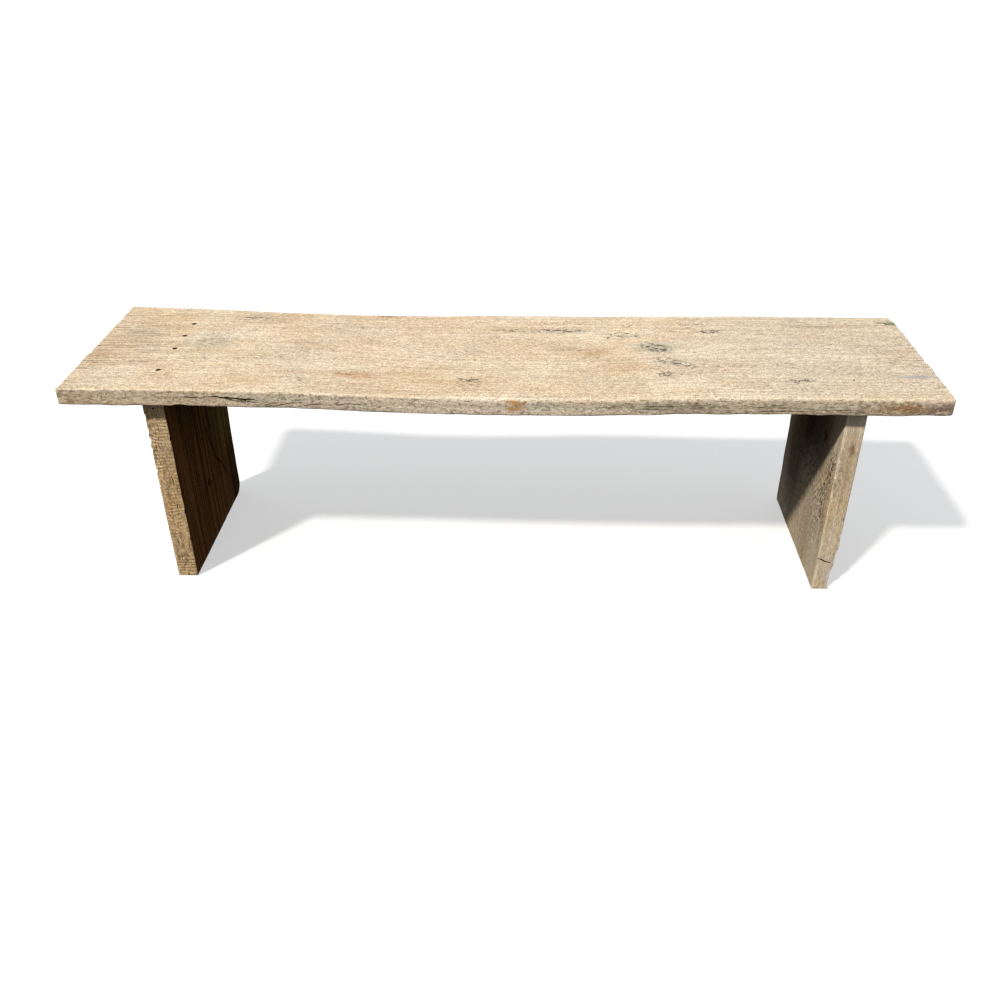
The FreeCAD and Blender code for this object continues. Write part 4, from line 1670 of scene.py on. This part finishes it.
        tracks = (
            Tracks(top(112, 121), (0.06, 0.010, 0.02)),
            Tracks(top(20, 122), (0.05, 0.007, 0.02)),
            Tracks(top(314, 26), (0.034, 0.022, 0.02), 0.5),
            Tracks(top(346, -50), (0.045, 0.013, 0.02), 0.5),
            Tracks(top(322, -108), (0.024, 0.016, 0.02)),
            Tracks(top(250, 90), (0.04, 0.02, 0.02)),
            Tracks(top(572, -137), (0.03, 0.009, 0.02)),
            Tracks(top(437, 107), (0.03, 0.010, 0.02)),
            Tracks(top(262, 142), (0.02, 0.008, 0.02)),
            Tracks(top(823, 158), (0.02, 0.012, 0.02)),
            Tracks(top(-60, -132), (0.03, 0.010, 0.02)),
            Tracks(top(-560, 150), (0.03, 0.006, 0.02)),
        )
        return WoodFinish(
            name="bleached_seat_wood",
            pale="eedcc0",
            warm="dfc5a3",
            grey="dac9ae",
            dark="9c7a58",
            line="3f3a32",
            pith=(0.0, 0.05, 0.22),
            ring_strength=0.18,
            streak_strength=0.2,
            fibre_strength=0.34,
            speck_strength=0.4,
            speck_size=2.7 * MM,
            side_flecks=0.75,
            track_size=19 * MM,
            track_line=0.042,
            stains=stains,
            tracks=tracks,
            seed=1.0,
        )

    def build(self, shop: Workshop, legs: Sequence["SlabLeg"]) -> bpy.types.Object:
        """Makes the plank.

        Args:
            shop: The shared trees and groups.
            legs: The legs that stand in its trenches.

        Returns:
            The piece.
        """
        wood = self.finish().material(shop.groups)
        # The faces that the cuts lay bare take painted shade.
        hollow_shade = HollowFinish("split_seat_wood", "2e241b", "7a6247").material(shop.groups)
        mesh = self.grid.build("seat_plank", self._stations(), self._section, self._place)
        board = new_object("seat_board", mesh)
        values = {
            "Groove Scale": (5.0, 110.0, 110.0),
            "Groove Depth": 1.1 * MM,
            "Lump Depth": 2.0 * MM,
            "Seed": 1.0,
            "Material": wood,
        }
        run_tree(board, shop.relief, values)
        carving = Carving("seat_cuts", 21)
        self._splits(carving)
        self._chips(carving)
        self._hardware(carving, legs)
        carving.cut(board, hollow_shade)
        finish_board(board)
        register(board, "seat_plank")
        return board


@dataclass
class SlabLeg:
    """One upright board leg, its grain running up and down."""

    side: Side
    rows: Sequence[ScrewRow]
    grid: BoardGrid = field(default_factory=lambda: BoardGrid(face_steps=90, edge_steps=16))
    station_pitch: float = 4.5 * MM
    arris: float = 2.5 * MM
    heel_radius: float = 28 * MM
    seat_skip: float = 16 * MM
    cleat_skip: float = 31 * MM

    def __post_init__(self) -> None:
        """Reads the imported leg's box."""
        self.low, self.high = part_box(f"{self.side.word}_leg")
        self.probe = CadProbe(f"{self.side.word}_leg")

    @property
    def inner(self) -> float:
        """Where the face towards the middle of the bench lies."""
        return self.high.x if self.side is Side.LEFT else self.low.x

    @property
    def outer(self) -> float:
        """Where the face towards the seat's end lies."""
        return self.low.x if self.side is Side.LEFT else self.high.x

    def _section(self, z: np.ndarray) -> tuple[np.ndarray, np.ndarray, np.ndarray]:
        """The leg's section at heights above the floor; through the thickness is along X."""
        first = 100 * self.side.value
        inside = np.clip(z, self.low.z + 0.3 * MM, self.high.z - 0.3 * MM)
        middle = (self.low.x + self.high.x) / 2
        back = np.array([self.probe.reach((middle, 1.0, s), (0.0, -1.0, 0.0), 1) for s in inside])
        front = self.low.y + 0.5 * MM + wander(z, 0.05, 0.6 * MM, 230 + first)
        back = back - 0.5 * MM + wander(z, 0.05, 0.8 * MM, 231 + first)
        low = np.stack([front, self.low.x + 0 * z], 1)
        high = np.stack([back, self.high.x + 0 * z], 1)
        radii = [self.arris + wander(z, 0.02, 1.3 * MM, 240 + first + i) for i in range(4)]
        return low, high, np.maximum(np.stack(radii, 1), 0.8 * MM)

    def _place(self, along: np.ndarray, across: np.ndarray, through: np.ndarray) -> np.ndarray:
        """Takes the grid to the frame."""
        return np.stack([through, across, along], -1)

    def _stations(self) -> np.ndarray:
        """Heights above the floor, closer together at the rounded heel."""
        heel = self.heel_radius * (1 - np.cos(np.linspace(0, math.pi / 2, 16)))
        above = np.arange(self.heel_radius + self.station_pitch, self.high.z, self.station_pitch)
        return np.concatenate([heel, above, [self.high.z]])

    def _left_cuts(self, carving: Carving) -> None:
        """The left leg's splits and chips."""
        inwards, ahead = (1.0, 0.0, 0.0), (0.0, -1.0, 0.0)
        curve = ((1, 309), (10, 259), (25, 216), (46, 162), (67, 144), (113, 69))
        carving.split([(self.inner, y * MM, z * MM) for y, z in curve], inwards, 6 * MM, 12 * MM)
        carving.chip((self.inner, -0.027, 0.14), (0.004, 0.007, 0.011))
        carving.chip((self.inner, -0.126, 0.348), (0.003, 0.004, 0.009))
        for path in (
            ((-24, 146), (-31, 134)),
            ((-60, 372), (-66, 300), (-70, 250)),
            ((-110, 210), (-104, 130), (-108, 90)),
            ((-9, 380), (-4, 330)),
            ((60, 330), (66, 270)),
        ):
            carving.split([(self.inner, y * MM, z * MM) for y, z in path], inwards, 2.6 * MM, 6 * MM)
        for path, width in (
            (((-671, 252), (-668, 240), (-670, 228)), 2.4),
            (((-688, 96), (-684, 84)), 2.4),
            (((-685, 62), (-683, 46), (-684, 30)), 1.8),
            (((-690, 340), (-688, 300), (-690, 280)), 1.4),
            (((-672, 190), (-670, 160)), 1.6),
            (((-680, 140), (-678, 118)), 1.2),
        ):
            carving.split([(x * MM, self.low.y, z * MM) for x, z in path], ahead, width * MM, 6 * MM)
        carving.chip((-0.679, self.low.y, 0.4055), (0.0022, 0.005, 0.0022))
        for z, size in ((384, 9), (371, 13), (352, 10), (331, 12), (309, 9), (262, 7), (226, 5)):
            deep = carving.random.uniform(2.2, 4.2) * MM
            carving.chip((self.outer, self.low.y, z * MM), (deep * 1.1, deep * 2, size * MM), rough=0.2)
        for z, size in ((337, 6), (163, 9), (158, 5), (96, 4), (210, 4)):
            deep = carving.random.uniform(1.8, 3.0) * MM
            centre = (self.inner + 0.5 * MM, self.low.y - 0.5 * MM, z * MM)
            carving.chip(centre, (deep, deep * 1.5, size * MM))

    def _right_cuts(self, carving: Carving) -> None:
        """The right leg's splits, pits and split-off foot."""
        inwards, ahead = (-1.0, 0.0, 0.0), (0.0, -1.0, 0.0)
        for path, width in (
            (((85, 76), (92, 56), (98, 37)), 2.4),
            (((-120, 380), (-112, 330), (-118, 290)), 1.6),
            (((-60, 350), (-52, 300)), 1.6),
            (((20, 300), (28, 240)), 1.5),
            (((100, 330), (96, 250)), 1.5),
        ):
            carving.split([(self.inner, y * MM, z * MM) for y, z in path], inwards, width * MM, 6 * MM)
        crack = [(0.6600, 80), (0.670, 76), (0.682, 72), (0.692, 68)]
        carving.split([(x, self.low.y, z * MM) for x, z in crack], ahead, 4.2 * MM, 16 * MM)
        carving.chip((self.inner - 0.5 * MM, -0.094, 0.316), (0.004, 0.005, 0.007))
        band = (0, 0.45, 0.75, 1)
        for number in range(150):
            share = carving.random.uniform()
            y = np.interp(share, band, (-176, -139, -163, -192)) + carving.random.normal(0, 9)
            z = np.interp(share, band, (310, 200, 158, 118)) + carving.random.normal(0, 6)
            size = carving.random.uniform((0.9, 0.8, 1.1), (1.8, 1.7, 3.0)) * MM
            if y > -186 + number % 3:
                carving.chip((self.inner, y * MM, z * MM), tuple(size), detail=1)
        outer, front = self.outer, self.low.y
        foot, above = (outer + 8 * MM, front + 4 * MM, 0.030), (outer + 8.5 * MM, front + 2 * MM, 0.088)
        carving.chip(foot, (0.0165, 0.028, 0.044), (0.0, 0.05, 0.0), 0.08, 3)
        carving.chip(above, (0.0125, 0.021, 0.034), (0.0, 0.16, 0.0), 0.08, 3)
        carving.chip((outer + 2 * MM, front - 1 * MM, 0.132), (0.005, 0.008, 0.013))
        carving.chip((outer + 1 * MM, front - 1 * MM, 0.235), (0.003, 0.004, 0.011))

    def _hardware(self, carving: Carving) -> None:
        """The holes of the screws that hold the leg."""
        for row in self.rows:
            if row.side is not self.side or row.kind == "cleat_seat":
                continue
            for head in row.heads():
                skipped = self.seat_skip if row.kind == "seat" else self.cleat_skip
                rim = head.place + row.drive * skipped
                steps = [(0.0, row.shank_radius), (head.length - skipped + 1 * MM, row.shank_radius)]
                carving.bore(rim, steps, row.drive[:], 12)

    def finish(self) -> WoodFinish:
        """The leg's wood, with painted shade on the left leg's inner face and painted shadow on the right
        leg's.
        """
        if self.side is Side.LEFT:
            front, inwards = self.low.y, (1.0, 0.0, 0.0)
            olive, heel = (self.inner, 0.14, 0.30), (self.inner, 0.17, 0.06)
            stains = (
                Stain("7b5a38", (-0.692, front, 0.33), (0.012, 0.03, 0.07), 0.5, breakup=Breakup.SPECKS),
                Stain("6b4a2b", (-0.672, front, 0.22), (0.012, 0.03, 0.06), 0.45, breakup=Breakup.SPECKS),
                Stain("6b4a2b", (-0.684, front, 0.06), (0.012, 0.03, 0.05), 0.45, breakup=Breakup.SPECKS),
            )
            return WoodFinish(
                name="sawn_left_leg_wood",
                pale="efd0a2",
                warm="ddb57c",
                grey="d3b88d",
                dark="7d5a36",
                line="33241a",
                grain=Grain.UPRIGHT,
                pith=(0.0, 0.02, -0.85),
                saw_strength=0.7,
                saw_pitch=8 * MM,
                streak_strength=0.4,
                speck_strength=0.5,
                side_flecks=0.4,
                seed=4.0,
                # Painted shade: the inner face looks away from the key light and is coloured dark brown,
                # darker still at the heel, with a lighter olive patch at the back.
                tones=(
                    FaceTone(inwards, "583418", "a87038", 0.97),
                    FaceTone(inwards, "665224", "a08642", 0.8, olive, (0.1, 0.085, 0.16)),
                    FaceTone(inwards, "2a1a0d", "4a3018", 0.8, heel, (0.1, 0.06, 0.12)),
                ),
                stains=stains,
            )
        inner, front = self.inner, self.low.y
        stains = (
            Stain("2c2018", (inner, -0.135, 0.18), (0.03, 0.035, 0.09), 0.85, breakup=Breakup.SPECKS),
            Stain("2c2018", (inner, -0.165, 0.28), (0.03, 0.03, 0.06), 0.8, breakup=Breakup.SPECKS),
            Stain("3d2e22", (inner, -0.06, 0.13), (0.02, 0.11, 0.13), 0.6, breakup=Breakup.SPECKS),
            Stain("c9b89c", (inner, -0.08, 0.08), (0.02, 0.12, 0.10), 0.4),
            # Painted shadow: the dark patches from here to the last inner one stand where the seat's shadow
            # falls on the inner face; the small first one also darkens round the chip there.
            Stain("2d2118", (inner, -0.094, 0.316), (0.02, 0.01, 0.012), 0.8),
            Stain("4c392a", (inner, -0.02, 0.33), (0.02, 0.10, 0.10), 0.85),
            Stain("2c1f17", (inner, 0.02, 0.33), (0.02, 0.03, 0.12), 0.7),
            Stain("4a3828", (inner, 0.09, 0.20), (0.02, 0.07, 0.14), 0.75),
            Stain("1f1610", (inner, 0.05, 0.26), (0.02, 0.10, 0.10), 0.8, breakup=Breakup.SPECKS),
            Stain("b28a58", (0.684, front, 0.30), (0.014, 0.03, 0.08), 0.4),
            Stain("8c6a45", (0.683, front, 0.338), (0.007, 0.02, 0.012), 0.7),
            Stain("e2d6c4", (0.692, front, 0.04), (0.010, 0.03, 0.045), 0.6),
        )
        return WoodFinish(
            name="weathered_right_leg_wood",
            pale="f8e6c8",
            warm="eed3a9",
            grey="e2d2b6",
            dark="8a6c4e",
            worn_strength=0.1,
            bump=0.5 * MM,
            line="35281d",
            grain=Grain.UPRIGHT,
            pith=(0.0, -0.03, 0.86),
            streak_strength=0.3,
            speck_strength=0.15,
            speck_size=2.2 * MM,
            seed=7.0,
            stains=stains,
        )

    def build(self, shop: Workshop) -> bpy.types.Object:
        """Makes the leg.

        Args:
            shop: The shared trees and groups.

        Returns:
            The piece.
        """
        name = f"{self.side.word}_leg"
        wood = self.finish().material(shop.groups)
        # The faces that the cuts lay bare take painted shade.
        hollow_shade = HollowFinish(f"split_{name}_wood", "1f160f", "6b4f33", Grain.UPRIGHT)
        mesh = self.grid.build(name, self._stations(), self._section, self._place)
        board = new_object(f"{name}_board", mesh)
        values = {
            "Groove Scale": (90.0, 90.0, 6.0),
            "Groove Depth": 0.8 * MM,
            "Lump Depth": 1.2 * MM,
            "Saw Depth": 0.28 * MM if self.side is Side.LEFT else 0.10 * MM,
            "Saw Pitch": 8 * MM,
            "Seed": 4.0,
            "Material": wood,
        }
        run_tree(board, shop.relief, values)
        carving = Carving(f"{name}_cuts", 40 + self.side.value)
        if self.side is Side.LEFT:
            self._left_cuts(carving)
        else:
            self._right_cuts(carving)
        self._hardware(carving)
        carving.cut(board, hollow_shade.material(shop.groups))
        finish_board(board)
        register(board, name)
        return board


@dataclass
class Cleat:
    """The batten in one inside corner, screwed to the leg and to the seat."""

    side: Side
    grid: BoardGrid = field(default_factory=lambda: BoardGrid(face_steps=16, edge_steps=16))
    station_pitch: float = 4 * MM
    arris: float = 1.6 * MM

    def build(self, shop: Workshop, wood: bpy.types.Material) -> bpy.types.Object:
        """Makes the cleat.

        Args:
            shop: The shared trees and groups.
            wood: Its material.

        Returns:
            The piece.
        """
        name = f"{self.side.word}_cleat"
        low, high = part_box(name)

        def section(y: np.ndarray) -> tuple[np.ndarray, np.ndarray, np.ndarray]:
            """The batten's square section."""
            flat = np.ones_like(y)
            radii = [self.arris + wander(y, 0.02, 0.6 * MM, 300 + i) for i in range(4)]
            lows = np.stack([low.x * flat, low.z * flat], 1)
            highs = np.stack([high.x * flat, high.z * flat], 1)
            return lows, highs, np.stack(radii, 1)

        def place(along: np.ndarray, across: np.ndarray, through: np.ndarray) -> np.ndarray:
            """Takes the grid to the frame."""
            return np.stack([across, along, through], -1)

        stations = np.linspace(low.y, high.y, int((high.y - low.y) / self.station_pitch))
        board = new_object(f"{name}_batten", self.grid.build(name, stations, section, place))
        values = {
            "Groove Scale": (120.0, 8.0, 120.0),
            "Groove Depth": 0.4 * MM,
            "Lump Depth": 0.4 * MM,
            "Seed": 9.0,
            "Material": wood,
        }
        run_tree(board, shop.relief, values)
        finish_board(board)
        register(board, name)
        return board


# ---- the studio --------------------------------------------------------------------------------


@dataclass
class Studio:
    """A pale floor, soft light from the upper front left, and the camera."""

    camera_place: Point = (0.0554, -1.8758, 1.2704)
    camera_dip: float = 32.15
    camera_turn: float = 1.9
    camera_roll: float = 0.05
    lens: float = 35.25
    key_direction: Point = (0.415, 0.483, -0.77)
    key_strength: float = 3.05
    key_softness: float = 4.0
    fill_power: float = 9.0
    fill_width: float = 3.0
    fill_place: Point = (0.0, -4.0, 1.6)
    fill_aim: Point = (0.0, 0.0, 0.25)
    floor_reach: float = 40.0
    floor_paint: str = "c9c8c6"
    floor_glow: float = 0.5
    sky: str = "eef3fa"

    def build(self) -> None:
        """Sets up floor, lights, world and camera."""
        self._floor()
        self._lights()
        self._world()
        self._camera()
        bpy.context.scene.view_settings.view_transform = "Standard"

    def _floor(self) -> None:
        """The pale floor, far larger than the bench."""
        far = self.floor_reach
        corners = [(-far, -far, 0), (far, -far, 0), (far, far, 0), (-far, far, 0)]
        mesh = bpy.data.meshes.new("floor")
        mesh.from_pydata(corners, [], [(0, 1, 2, 3)])
        material = bpy.data.materials.new("pale_floor")
        material.use_nodes = True
        shader = material.node_tree.nodes["Principled BSDF"]
        shader.inputs["Base Color"].default_value = paint(self.floor_paint)
        shader.inputs["Emission Color"].default_value = (1.0, 1.0, 1.0, 1.0)
        shader.inputs["Emission Strength"].default_value = self.floor_glow
        shader.inputs["Roughness"].default_value = 0.9
        shader.inputs["Specular IOR Level"].default_value = 0.1
        mesh.materials.append(material)
        floor = new_object("floor", mesh)
        floor.visible_diffuse = False
        floor.visible_glossy = False

    def _lights(self) -> None:
        """A key like a large distant lamp, and a wide fill from the front."""
        key = bpy.data.lights.new("key", "SUN")
        key.energy = self.key_strength
        key.angle = math.radians(self.key_softness)
        key.color = (1.0, 0.97, 0.92)
        lamp = bpy.data.objects.new("key", key)
        lamp.rotation_euler = Vector(self.key_direction).to_track_quat("-Z", "Y").to_euler()
        bpy.context.scene.collection.objects.link(lamp)
        fill = bpy.data.lights.new("fill", "AREA")
        fill.energy = self.fill_power
        fill.size = self.fill_width
        soft = bpy.data.objects.new("fill", fill)
        soft.location = self.fill_place
        aim = Vector(self.fill_aim) - soft.location
        soft.rotation_euler = aim.to_track_quat("-Z", "Y").to_euler()
        bpy.context.scene.collection.objects.link(soft)

    def _world(self) -> None:
        """A soft sky: brightest overhead, dim below the horizon, and plain pale to the eye."""
        world = bpy.data.worlds.new("studio")
        bpy.context.scene.world = world
        world.use_nodes = True
        world.node_tree.nodes.clear()
        graph = Graph(world.node_tree)
        upwards = graph.add("ShaderNodeTexCoord").outputs["Generated"]
        height = graph.add("ShaderNodeSeparateXYZ", {0: upwards}).outputs["Z"]
        strength = graph.remap(height, -0.1, 1.0, 0.035, 0.6)
        light = graph.add("ShaderNodeBackground", {"Color": paint(self.sky), "Strength": strength})
        seen = graph.add("ShaderNodeBackground", {"Color": (1.0, 1.0, 1.0, 1.0), "Strength": 1.0})
        eye = graph.add("ShaderNodeLightPath").outputs["Is Camera Ray"]
        both = graph.add("ShaderNodeMixShader", {0: eye, 1: light.outputs[0], 2: seen.outputs[0]})
        graph.add("ShaderNodeOutputWorld", {"Surface": both.outputs[0]})

    def _camera(self) -> None:
        """The camera, a little above and in front of the bench."""
        data = bpy.data.cameras.new("camera")
        data.lens = self.lens
        data.sensor_width = 36.0
        camera = bpy.data.objects.new("camera", data)
        camera.location = self.camera_place
        tilt = math.radians(90 - self.camera_dip)
        camera.rotation_euler = (tilt, math.radians(self.camera_roll), math.radians(self.camera_turn))
        bpy.context.scene.collection.objects.link(camera)
        bpy.context.scene.camera = camera


def main() -> None:
    """Builds the bench and its studio."""
    logging.basicConfig(level=logging.INFO, format="%(name)s: %(message)s")
    shop = Workshop()
    quarter = math.pi / 2
    rows = []
    for side in Side:
        rows.append(ScrewRow(side, "seat", (0.0, 0.0, 0.0)))
        rows.append(ScrewRow(side, "cleat_leg", (0.0, -quarter * side.value, 0.0)))
        rows.append(ScrewRow(side, "cleat_seat", (math.pi, 0.0, 0.0)))
    legs = [SlabLeg(side, rows) for side in Side]
    SeatPlank(rows).build(shop, legs)
    for leg in legs:
        leg.build(shop)
    batten = WoodFinish(
        name="planed_cleat_wood",
        pale="b08a5e",
        warm="9a7448",
        grey="8f7655",
        dark="5f4326",
        line="2c1e13",
        pith=(0.0, 0.0, 0.3),
        speck_strength=0.12,
        bump=0.4 * MM,
        seed=12.0,
    ).material(shop.groups)
    for side in Side:
        Cleat(side).build(shop, batten)
    steel = SteelFinish().material(shop.groups)
    for number, row in enumerate(rows):
        row.build(shop, steel, 60 + number)
    Studio().build()


if __name__ == "__main__":
    main()
